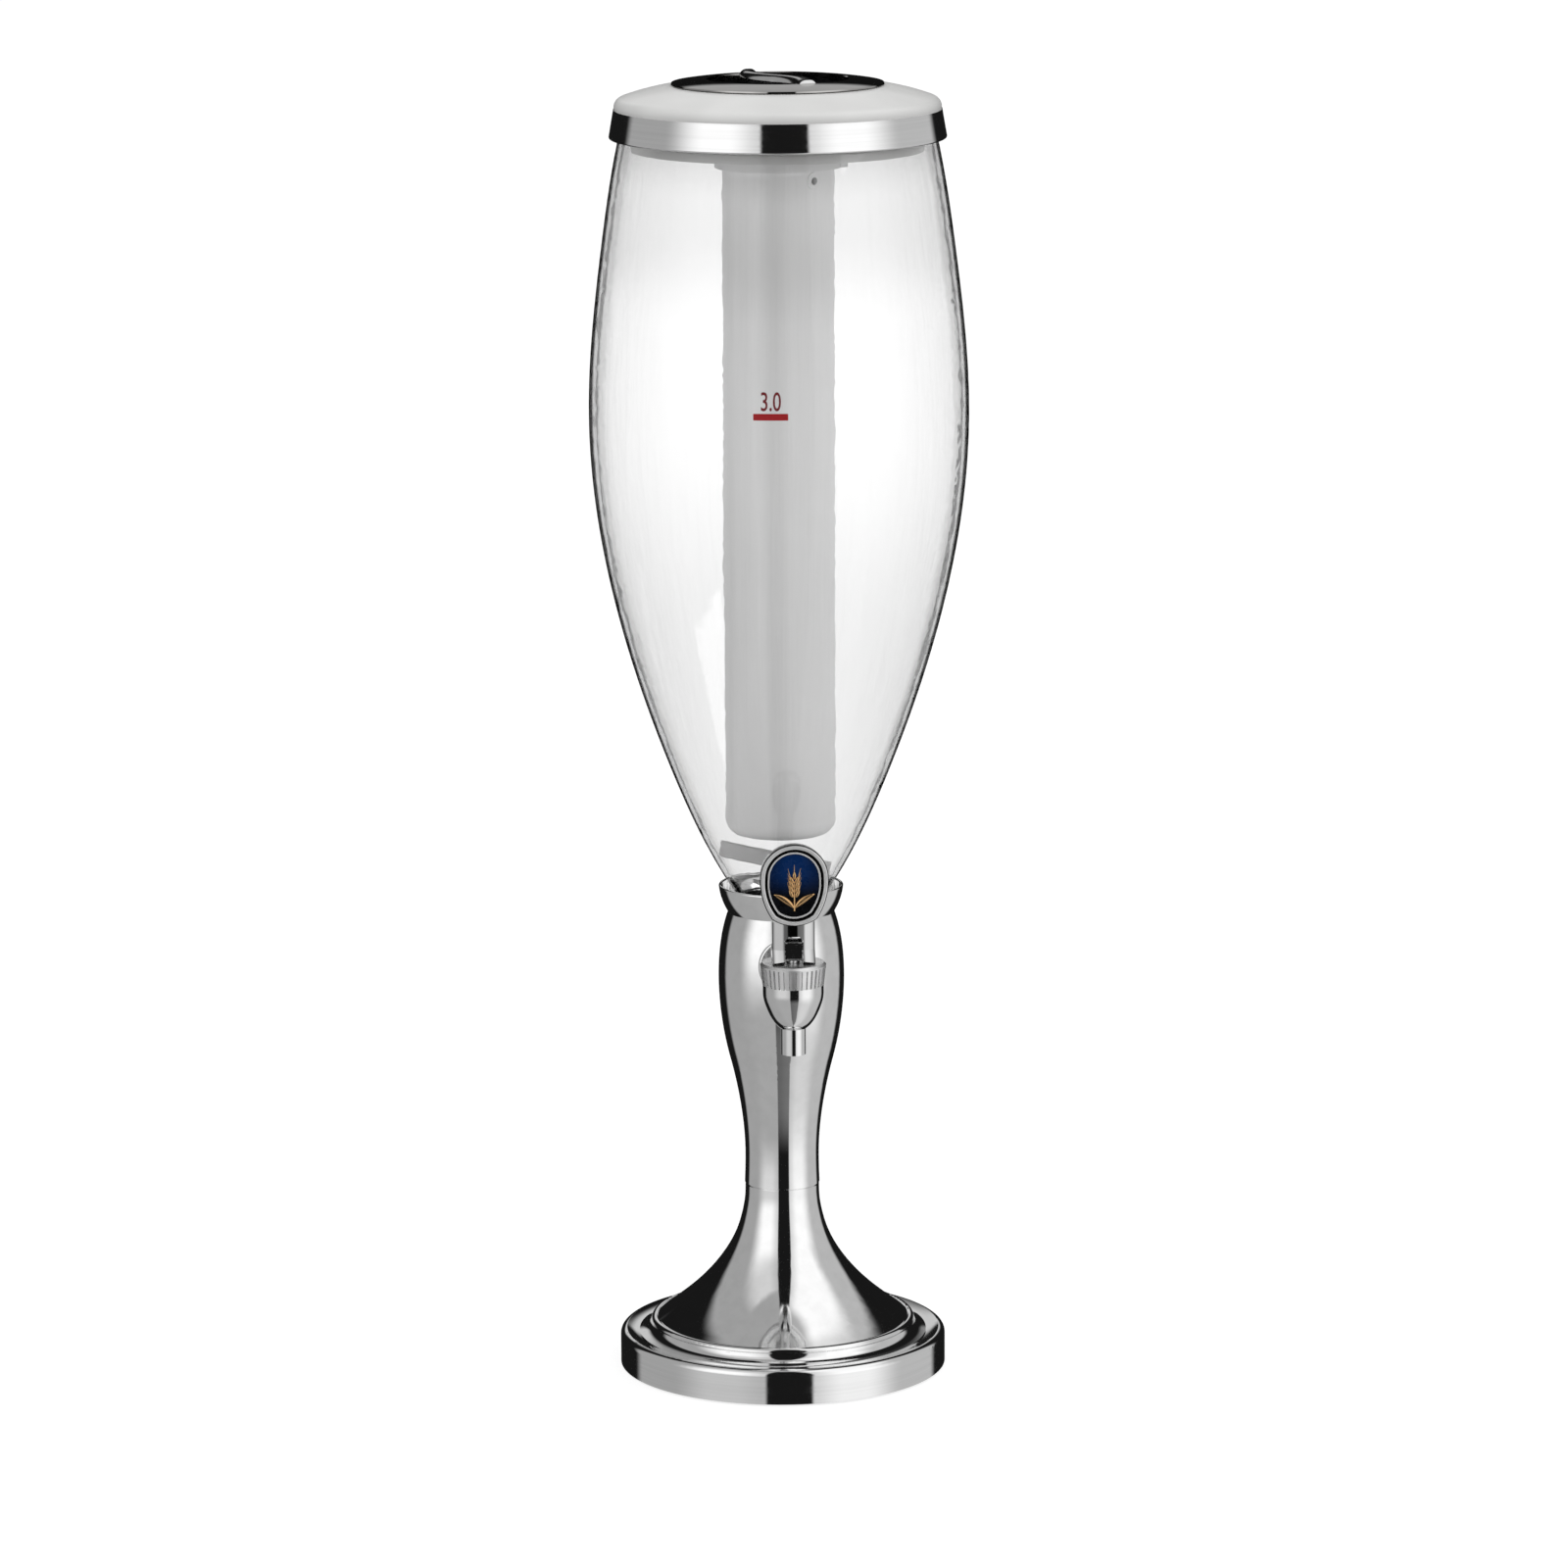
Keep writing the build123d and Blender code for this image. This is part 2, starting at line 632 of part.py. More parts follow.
def lid_dome():
    """Lid body: domed top, skirt inside the band, plug skirt inside the mouth, hole for the cap."""
    skirt_low = Z_LID_BAND + SKIRT_SHORT
    skirt_r = band_radius(skirt_low) - LID_BAND_WALL - SEAT_GAP
    skirt_top_r = LID_BAND_TOP_R - LID_BAND_WALL - SEAT_GAP
    edge_r = LID_BAND_TOP_R - 0.3
    crown = ThreePointArc(
        spot(DOME_EDGE_R, Z_SHOULDER),
        spot((DOME_EDGE_R + CAP_HOLE_R) / 2 + 1, Z_SHOULDER + DOME_RISE * 0.58),
        spot(CAP_HOLE_R, Z_CROWN),
    )
    shoulder = ThreePointArc(
        spot(edge_r, Z_LID_BAND_TOP),
        spot(edge_r - (edge_r - DOME_EDGE_R) * 0.2, Z_SHOULDER - DOME_EDGE_DROP * 0.35),
        spot(DOME_EDGE_R, Z_SHOULDER),
    )
    plug_inner = SKIRT_R - SKIRT_WALL
    under_edge = Z_SHOULDER + DOME_RISE * 0.2 - DOME_WALL
    under_hole = Z_CROWN - DOME_WALL
    ledge_r = CAP_HOLE_R - CAP_LEDGE_WIDTH
    ledge_low = Z_CAP_LEDGE - CAP_LEDGE_THICK
    return turned(
        shoulder,
        crown,
        spot(CAP_HOLE_R, Z_CAP_LEDGE),
        spot(ledge_r, Z_CAP_LEDGE),
        spot(ledge_r, ledge_low),
        spot(CAP_HOLE_R + DOME_WALL, ledge_low),
        spot(CAP_HOLE_R + DOME_WALL, under_hole),
        spot(plug_inner, under_edge),
        spot(plug_inner, Z_LID_SEAT - SKIRT_DEPTH),
        spot(SKIRT_R, Z_LID_SEAT - SKIRT_DEPTH),
        spot(SKIRT_R, Z_LID_SEAT),
        spot(MOUTH_R + 1.0, Z_LID_SEAT),
        spot(skirt_top_r - SEAT_GAP - LID_BAND_WALL, Z_LID_BAND_TOP),
        spot(skirt_r - LID_BAND_WALL, skirt_low),
        spot(skirt_r, skirt_low),
        spot(skirt_top_r, Z_LID_BAND_TOP),
    )


def lid_gasket():
    return ring(SKIRT_R + SEAT_GAP, MOUTH_R + 0.4, Z_MOUTH, Z_LID_SEAT)


# ---- Cap and grip ----
def cap_ring():
    """Smoked metal ring that covers the edge of the cap and of the dome's hole."""
    under = Z_CROWN + 0.35
    top = ThreePointArc(
        spot(CAP_RING_R - 0.2, under + 0.6),
        spot((CAP_RING_R + WELL_R) / 2, Z_CROWN + CAP_RING_RISE * 0.75),
        spot(WELL_R + 0.5, Z_CROWN + CAP_RING_RISE),
    )
    return turned(
        spot(WELL_R, Z_CAP_TOP),
        spot(CAP_HOLE_R - PASS_GAP - 0.3, Z_CAP_TOP),
        spot(CAP_HOLE_R + 0.2, under),
        spot(CAP_RING_R, under),
        top,
        spot(WELL_R, Z_CROWN + CAP_RING_RISE - 0.4),
    )


def cap_seal():
    return ring(CAP_HOLE_R - CAP_LEDGE_WIDTH, CAP_HOLE_R - PASS_GAP, Z_CAP_LEDGE, Z_CAP_FLANGE)


def cap_body():
    """Black cap: flange, finger well and, below it, the socket that the ice tube twists into."""
    body = turned(
        spot(WELL_R, Z_CAP_TOP),
        spot(WELL_R, Z_WELL),
        spot(0, Z_WELL),
        spot(0, Z_SOCKET_TOP),
        spot(CAP_PLUG_R, Z_SOCKET_TOP),
        spot(CAP_PLUG_R, Z_CAP_FLANGE),
        spot(CAP_HOLE_R - PASS_GAP, Z_CAP_FLANGE),
        spot(CAP_HOLE_R - PASS_GAP, Z_CAP_TOP),
    )
    body -= ring(WELL_R + WELL_WALL, CAP_PLUG_R - WELL_WALL, Z_SOCKET_TOP, Z_CAP_FLANGE)
    body += ring(TUBE_R + PASS_GAP, SOCKET_R, Z_SOCKET, Z_SOCKET_TOP)
    run_low = Z_FLANGE_TOP + LUG_UP - SEAT_GAP
    run_high = run_low + LUG_HEIGHT + 2 * SEAT_GAP
    margin = degrees(PASS_GAP / TUBE_R)
    run = ring(TUBE_R - 1, SOCKET_R + 1, run_low, run_high, arc=LUG_SPAN + TWIST_ANGLE + 2 * margin)
    entry = ring(TUBE_R - 1, SOCKET_R + 1, Z_SOCKET - 1, run_high, arc=LUG_SPAN + 2 * margin)
    start = -LUG_SPAN / 2 - margin
    for place in PolarLocations(0, LUG_COUNT):
        body -= place * Rot(0, 0, start) * run
        body -= place * Rot(0, 0, start + TWIST_ANGLE) * entry
    return body


def grip_bar():
    """S-shaped finger bar that crosses the well."""
    low = Z_WELL
    high = Z_CROWN + GRIP_UP
    reach = WELL_R + 4
    half = reach / 2
    first = ThreePointArc((0, -reach, low), (GRIP_SWING, -half, low), (0, 0, low))
    second = ThreePointArc((0, 0, low), (-GRIP_SWING, half, low), (0, reach, low))
    path = Wire([first, second])
    section = Rectangle(GRIP_WIDTH, high - low, align=(Align.CENTER, Align.MIN))
    section = fillet(section.vertices().group_by(Axis.Y)[-1], GRIP_WIDTH * 0.4)
    start = Plane(origin=path @ 0, x_dir=Vector(0, 0, 1).cross(path % 0), z_dir=path % 0)
    if start.y_dir.Z < 0:
        start = Plane(origin=path @ 0, x_dir=(path % 0).cross(Vector(0, 0, 1)), z_dir=path % 0)
    bar = sweep(start * section, path=path)
    return Rot(0, 0, GRIP_YAW) * (bar & rod(WELL_R - SEAT_GAP, low, high + 1))


# ---- Ice tube ----
def ice_tube():
    """Frosted tube, closed below, with a flange, a spigot with two lugs, a thumb tab and a vent."""
    low = Z_TUBE
    top = Z_FLANGE_TOP + TUBE_SPIGOT_UP
    inner = TUBE_R - TUBE_WALL
    corner = TUBE_CORNER_R
    cut = corner * (1 - sqrt(0.5))
    outer_round = ThreePointArc(
        spot(TUBE_R - corner, low), spot(TUBE_R - cut, low + cut), spot(TUBE_R, low + corner)
    )
    floor = low + TUBE_FLOOR
    inner_corner = corner - TUBE_WALL
    cut = inner_corner * (1 - sqrt(0.5))
    inner_round = ThreePointArc(
        spot(inner, floor + inner_corner),
        spot(inner - cut, floor + cut),
        spot(inner - inner_corner, floor),
    )
    tube = turned(
        spot(0, low),
        outer_round,
        spot(TUBE_R, Z_FLANGE),
        spot(TUBE_FLANGE_R, Z_FLANGE),
        spot(TUBE_FLANGE_R, Z_FLANGE_TOP),
        spot(TUBE_R, Z_FLANGE_TOP),
        spot(TUBE_R, top),
        spot(inner, top),
        inner_round,
        spot(0, floor),
    )
    lug_low = Z_FLANGE_TOP + LUG_UP
    lug = ring(TUBE_R - TUBE_WALL / 2, LUG_R, lug_low, lug_low + LUG_HEIGHT, arc=LUG_SPAN)
    for place in PolarLocations(0, LUG_COUNT):
        tube += place * Rot(0, 0, -LUG_SPAN / 2) * lug
    return tube + thumb_tab() + vent_boss() - vent_hole()


def thumb_tab():
    """Ribbed tab on the flange's +X side."""
    height = TUBE_FLANGE_THICK
    tab = Pos(TUBE_R, 0, Z_FLANGE) * Box(
        TAB_R - TUBE_R, TAB_WIDTH, height, align=(Align.MIN, Align.CENTER, Align.MIN)
    )
    for offset in (-TAB_WIDTH / 4, 0, TAB_WIDTH / 4):
        tab -= Pos(TAB_R, offset, Z_FLANGE) * Cylinder(TAB_RIB / 2, height, align=MIDDLE)
    return tab


def vent_place():
    """Plane on the tube's wall, under the flange, that faces outwards."""
    return Rot(0, 0, VENT_AZIMUTH) * Pos(TUBE_R, 0, Z_FLANGE - VENT_DROP) * Rot(0, 90, 0)


def vent_boss():
    boss = Pos(0, 0, VENT_PROUD) * Cylinder(VENT_R, 3, align=(Align.CENTER, Align.CENTER, Align.MAX))
    return vent_place() * boss - rod(TUBE_R - TUBE_WALL / 2, Z_TUBE, Z_FLANGE)


def vent_hole():
    return vent_place() * Cylinder(VENT_HOLE_R, 4 * TUBE_WALL)


# ---- Tap ----
def arm_tube(radius, start_y):
    """Round bar along the arm's middle line: out of the column, then down into the bowl."""
    bend_y = (Y_FLANGE - TAP_REACH + BOWL_R) / 2
    half_fall = ARM_DROP * 0.9
    path = FilletPolyline(
        (0, start_y, Z_SHANK),
        (0, bend_y + half_fall, Z_SHANK),
        (0, bend_y - half_fall, Z_ARM),
        (0, -TAP_REACH + SPOUT_R, Z_ARM),
        radius=ARM_BEND_R,
    )
    start = Plane(origin=(0, start_y, Z_SHANK), z_dir=(0, -1, 0))
    return sweep(start * Circle(radius), path=path)


def bowl_side(inset):
    """Rounded side of the bowl, downwards to the spout."""
    return Spline(
        spot(BOWL_R - inset, Z_BOWL - BOWL_STRAIGHT),
        spot(BOWL_MID_R - inset, Z_BOWL - BOWL_MID_DEPTH),
        spot(SPOUT_R + 0.3 - inset * 0.5, Z_SPOUT_TOP + inset * 0.6),
        tangents=[(0, 0, -1), (-0.8, 0, -0.6)],
    )


def tap_body():
    """Chromed body: shank, flange, bent arm, bowl and spout in one moulding, bored through."""
    collet_top = Z_BOWL + COLLET_UP
    outer = turned(
        spot(0, collet_top),
        spot(COLLET_R, collet_top),
        spot(COLLET_R, Z_BOWL),
        spot(BOWL_R, Z_BOWL),
        bowl_side(0),
        spot(SPOUT_R, Z_SPOUT_TOP),
        spot(SPOUT_R, Z_SPOUT),
        spot(0, Z_SPOUT),
    )
    chamber_r = COLLET_R - BOWL_WALL
    chamber_low = Z_SEAT + (chamber_r - SEAT_R) * 1.1
    chamber = turned(
        spot(0, collet_top),
        spot(chamber_r, collet_top),
        spot(chamber_r, chamber_low),
        spot(SEAT_R, Z_SEAT),
        spot(TAP_BORE_R, Z_SEAT - (SEAT_R - TAP_BORE_R)),
        spot(TAP_BORE_R, Z_SPOUT),
        spot(0, Z_SPOUT),
    )
    flange = bar_y(FLANGE_R, Y_FLANGE, Y_FLANGE - FLANGE_THICK, Z_SHANK)
    flange = fillet(flange.edges().sort_by(Axis.Y)[0], FLANGE_THICK * 0.4)
    shank = bar_y(SHANK_R, -SHANK_END, Y_FLANGE, Z_SHANK)
    body = TAP_AXIS * outer + arm_tube(ARM_R, Y_FLANGE - FLANGE_THICK / 2)
    body = body + shank + flange
    return body - arm_tube(TAP_BORE_R, -SHANK_END) - TAP_AXIS * chamber


def saddle_washer():
    """Rubber washer, flat to the tap's flange and hollow to the column."""
    blank = bar_y(SADDLE_R, Y_FLANGE, 0, Z_SHANK) - bar_y(SHANK_R + SEAT_GAP, Y_FLANGE, 0, Z_SHANK)
    return blank - column_space(-SEAT_GAP / 2)


def shank_bush():
    """Rubber bush round the shank, between the column's wall and the bulb's neck."""
    blank = bar_y(SADDLE_R, -BULGE_R, 0, Z_SHANK) - bar_y(SHANK_R + SEAT_GAP, -BULGE_R, 0, Z_SHANK)
    return (blank & column_space(COLUMN_WALL + SEAT_GAP)) - rod(NECK_R + SEAT_GAP, Z_SEAM, Z_COLLAR)


def inner_washer():
    """Rubber washer inside the neck, round to its wall and flat to the nut."""
    blank = bar_y(SADDLE_R * 0.9, Y_NECK_FLAT, -NECK_R, Z_SHANK)
    blank -= bar_y(SHANK_R + SEAT_GAP, Y_NECK_FLAT, -NECK_R, Z_SHANK)
    return blank & rod(NECK_R - BULB_WALL - SEAT_GAP, Z_SEAM, Z_COLLAR)


def tap_nut():
    nut = hexagon(TAP_NUT_FLATS, 0, TAP_NUT_THICK, SHANK_R)
    return Pos(0, Y_NECK_FLAT, Z_SHANK) * Rot(-90, 0, 0) * nut


def bonnet_nut():
    """Ribbed nut that holds the bonnet seal on the bowl."""
    under = Z_BONNET_TOP - BONNET_TOP_THICK
    shell = turned(
        spot(COLLET_R + SEAT_GAP, Z_BOWL),
        spot(BONNET_FOOT_R, Z_BOWL),
        spot(BONNET_R, Z_BONNET_TOP - BONNET_BEVEL),
        spot(BONNET_R - BONNET_BEVEL, Z_BONNET_TOP),
        spot(STEM_R + PASS_GAP, Z_BONNET_TOP),
        spot(STEM_R + PASS_GAP, under),
        spot(COLLET_R + SEAT_GAP, under),
    )
    lean = degrees(atan2(BONNET_R - BONNET_FOOT_R, BONNET_HEIGHT - BONNET_BEVEL))
    groove_width = 2 * pi * BONNET_R / BONNET_RIBS * 0.45
    groove = Box(2 * RIB_DEPTH, groove_width, BONNET_HEIGHT * 1.2, align=MIDDLE)
    groove = Pos(BONNET_FOOT_R, 0, Z_BOWL - 0.5) * Rot(0, lean, 0) * groove
    stop = rod(BONNET_R + 2, Z_BONNET_TOP - BONNET_BEVEL - 0.5, Z_BONNET_TOP + 2)
    grooves = [place * (groove - stop) for place in PolarLocations(0, BONNET_RIBS)]
    return TAP_AXIS * (shell - Compound(grooves))


def bonnet_seal():
    """Silicone seal that lies between the nut and the bowl's rim, round the stem."""
    low = Z_BOWL + COLLET_UP
    return TAP_AXIS * ring(STEM_R + RUNNING_GAP, COLLET_R, low, Z_BONNET_TOP - BONNET_TOP_THICK)


def valve_stem():
    """Stem with a flat eye for the handle's pin."""
    low = Z_SEAT + 2.5
    bar = rod(STEM_R, low, Z_PIN)
    eye_round = Rot(0, 90, 0) * Cylinder(EYE_R, EYE_WIDTH)
    eye_foot = Pos(0, 0, -PIN_UP + 1) * Box(EYE_WIDTH, 2 * EYE_R, PIN_UP - 1, align=MIDDLE)
    hole = Rot(0, 90, 0) * Cylinder(PIN_R + RUNNING_GAP, EYE_WIDTH + 2)
    return TAP_AXIS * (bar + Pos(0, 0, Z_PIN) * (eye_round + eye_foot) - Pos(0, 0, Z_PIN) * hole)


def valve_plug():
    """Silicone plug on the stem's end that closes the seat above the spout."""
    low = Z_SEAT + PASS_GAP / 2
    nose_r = SEAT_R - 1.0
    slope = (PLUG_R - nose_r) * 1.1
    return TAP_AXIS * turned(
        spot(0, low - 0.9),
        spot(nose_r - 0.9, low - 0.9),
        spot(nose_r, low),
        spot(PLUG_R, low + slope + 0.4),
        spot(PLUG_R, low + PLUG_LENGTH - 1),
        spot(PLUG_R - 1, low + PLUG_LENGTH),
        spot(STEM_R, low + PLUG_LENGTH),
        spot(STEM_R, Z_SEAT + 2.5),
        spot(0, Z_SEAT + 2.5),
    )


# ---- Handle ----
def cam_foot():
    """Involute toe of the fork, seen from the side, with the pin at the origin.

    The toe keeps the stem's lift in proportion to the handle's angle.
    """
    points = []
    for step in range(5):
        turn = radians((TILT_ANGLE + 3) * step / 4)
        support = PIN_UP + CAM_THROW * turn
        forward = support * sin(turn) + CAM_THROW * cos(turn)
        height = -support * cos(turn) + CAM_THROW * sin(turn)
        points.append(Vector(0, -forward, height))
    return Spline(*points, tangents=[(0, -1, 0), (0, -cos(turn), sin(turn))])


def fork_blank():
    """Fork before its slot is cut: side outline pushed across its width, with its front rounded."""
    foot = cam_foot()
    toe_top = (foot @ 1) + Vector(0, 0.4, 1.2)
    shin = Vector(0, -FORK_FRONT, -PIN_UP * 0.1)
    side = outline(
        Vector(0, FORK_BACK, -PIN_UP),
        foot,
        toe_top,
        shin,
        Vector(0, -FORK_FRONT, BADGE_UP + 1),
        Vector(0, -FORK_FRONT + 1.6, FORK_SHOULDER_UP + 3),
        Vector(0, FORK_BACK - 1.0, FORK_SHOULDER_UP),
        Vector(0, FORK_BACK, BADGE_UP - 2),
    )
    blank = extrude(side, FORK_WIDTH / 2, dir=(1, 0, 0), both=True)
    section = Pos(0, FORK_FRONT_R - FORK_FRONT, shin.Z) * Circle(FORK_FRONT_R)
    legs = extrude(section, 2 * FORK_SHOULDER_UP)
    feet = extrude(section, 2 * PIN_UP, dir=(toe_top - shin).normalized())
    return blank & (legs + feet)


def fork_slot():
    """Space between the fork's legs, with its upper corners cut off."""
    half = FORK_SLOT / 2
    low = -PIN_UP - 2
    profile = Polyline(
        (-half, 0, low),
        (half, 0, low),
        (half, 0, FORK_SLOT_UP - FORK_CHAMFER),
        (half - FORK_CHAMFER, 0, FORK_SLOT_UP),
        (-half + FORK_CHAMFER, 0, FORK_SLOT_UP),
        (-half, 0, FORK_SLOT_UP - FORK_CHAMFER),
        close=True,
    )
    return extrude(make_face(profile), 3 * FORK_FRONT, dir=(0, 1, 0), both=True)


def egg(inset, front, back):
    """Egg-shaped plate, round above and narrow below, its foot at z = 0, from front to back in Y."""
    top_z = BADGE_HEIGHT - BADGE_R
    top_r = BADGE_R - inset
    waist_z = BADGE_HEIGHT * 0.31 + inset * 0.2
    waist_r = BADGE_WAIST_R - inset * 0.95
    foot_z = BADGE_HEIGHT * 0.083 + inset * 0.82
    foot_r = BADGE_FOOT_R - inset * 0.75
    crown = ThreePointArc((top_r, top_z), (0, top_z + top_r), (-top_r, top_z))
    left = ThreePointArc((-top_r, top_z), (-waist_r, waist_z), (-foot_r, foot_z))
    foot = ThreePointArc((-foot_r, foot_z), (0, inset), (foot_r, foot_z))
    right = ThreePointArc((foot_r, foot_z), (waist_r, waist_z), (top_r, top_z))
    face = make_face([crown, left, foot, right])
    corners = [corner for corner in face.vertices() if abs(corner.Y - foot_z) < 0.01]
    face = fillet(corners, foot_r * 0.25)
    upright = Plane(origin=(0, back, 0), x_dir=(1, 0, 0), z_dir=(0, -1, 0))
    return upright * extrude(face, back - front)


def handle_place():
    """Place of the pin, which the handle is drawn about."""
    return Pos(0, -TAP_REACH, Z_PIN)


def fork_handle():
    """Chromed fork with the back plate of the medallion."""
    fork = fork_blank() - fork_slot()
    upright = fork.edges().filter_by(Axis.Z)
    outer = [edge for edge in upright if abs(abs(edge.center().X) - FORK_WIDTH / 2) < 0.01]
    fork = fillet(outer, 0.8)
    fork -= Rot(0, 90, 0) * Cylinder(PIN_R, FORK_WIDTH + 2)
    plate = Pos(0, 0, BADGE_UP) * egg(0.3, Y_BADGE - PLATE_THICK, Y_BADGE)
    return handle_place() * (fork + plate)


def badge_bezel():
    """Rounded outer rim of the medallion and the thin rim round its inlay."""
    back = Y_BADGE - PLATE_THICK
    front = back - BEZEL_THICK
    rim = egg(0, front, back) - egg(BEZEL_WIDTH, front - 1, back + 1)
    rim = fillet(rim.faces().sort_by(Axis.Y)[0].edges(), BEZEL_WIDTH * 0.36)
    inner = BEZEL_WIDTH + GROOVE_WIDTH
    thin_front = back - INLAY_THICK - 0.5
    thin = egg(inner, thin_front, back) - egg(inner + RIM_WIDTH, thin_front - 1, back + 1)
    return handle_place() * Pos(0, 0, BADGE_UP) * Compound([rim, thin])


def badge_inlay():
    """Enamelled plate inside the thin rim."""
    back = Y_BADGE - PLATE_THICK
    inset = BEZEL_WIDTH + GROOVE_WIDTH + RIM_WIDTH + SEAT_GAP / 2
    inlay = egg(inset, back - INLAY_THICK, back)
    return handle_place() * Pos(0, 0, BADGE_UP) * inlay


def handle_pin():
    pin = Rot(0, 90, 0) * Cylinder(PIN_R, FORK_WIDTH - 0.4)
    pin = chamfer(pin.edges().filter_by(GeomType.CIRCLE), PIN_R * 0.2)
    return handle_place() * pin


PIECES = [
    rubber_feet,
    base_cover,
    base_screws,
    ballast_weight,
    base_ring,
    base_bell,
    tie_rod,
    tie_washers,
    tie_nuts,
    column,
    collar_cup,
    neck_gasket,
    bulb,
    throat_strip,
    lid_band,
    lid_dome,
    lid_gasket,
    cap_ring,
    cap_seal,
    cap_body,
    grip_bar,
    ice_tube,
    tap_body,
    saddle_washer,
    shank_bush,
    inner_washer,
    tap_nut,
    bonnet_nut,
    bonnet_seal,
    valve_stem,
    valve_plug,
    fork_handle,
    badge_bezel,
    badge_inlay,
    handle_pin,
]

os.makedirs("parts", exist_ok=True)
for piece in PIECES:
    save(piece.__name__, piece())
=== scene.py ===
import logging
import math
from dataclasses import dataclass, field
from enum import Enum
from typing import Callable

import bmesh
import bpy
from mathutils import Matrix, Quaternion, Vector


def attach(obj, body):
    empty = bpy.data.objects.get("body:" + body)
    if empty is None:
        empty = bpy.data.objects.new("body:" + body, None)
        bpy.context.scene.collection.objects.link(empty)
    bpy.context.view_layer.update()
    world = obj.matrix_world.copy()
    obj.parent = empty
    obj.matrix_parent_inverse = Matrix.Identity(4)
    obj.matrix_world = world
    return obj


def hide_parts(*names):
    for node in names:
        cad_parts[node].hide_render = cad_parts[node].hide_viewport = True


# Beer tower: finishes for its CAD nodes, the pieces that are too fine for CAD, and a plain studio round it.
# Metres, +Z up, the tap faces -Y.

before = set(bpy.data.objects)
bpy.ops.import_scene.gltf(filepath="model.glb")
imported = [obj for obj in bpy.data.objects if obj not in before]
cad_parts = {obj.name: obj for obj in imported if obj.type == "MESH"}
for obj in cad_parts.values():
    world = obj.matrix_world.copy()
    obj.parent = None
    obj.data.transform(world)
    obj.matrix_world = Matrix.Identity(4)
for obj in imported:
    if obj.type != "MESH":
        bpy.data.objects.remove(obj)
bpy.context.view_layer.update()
LOG = logging.getLogger("beer_tower")

Socket = bpy.types.NodeSocket
Triple = tuple[float, float, float]


class Streak(Enum):
    """Which way the fine lines of a polished or moulded surface run."""

    NONE = "none"
    ROUND = "round"
    UPRIGHT = "upright"


class Body(Enum):
    """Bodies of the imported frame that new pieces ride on."""

    STAND = "stand"
    HANDLE = "handle"


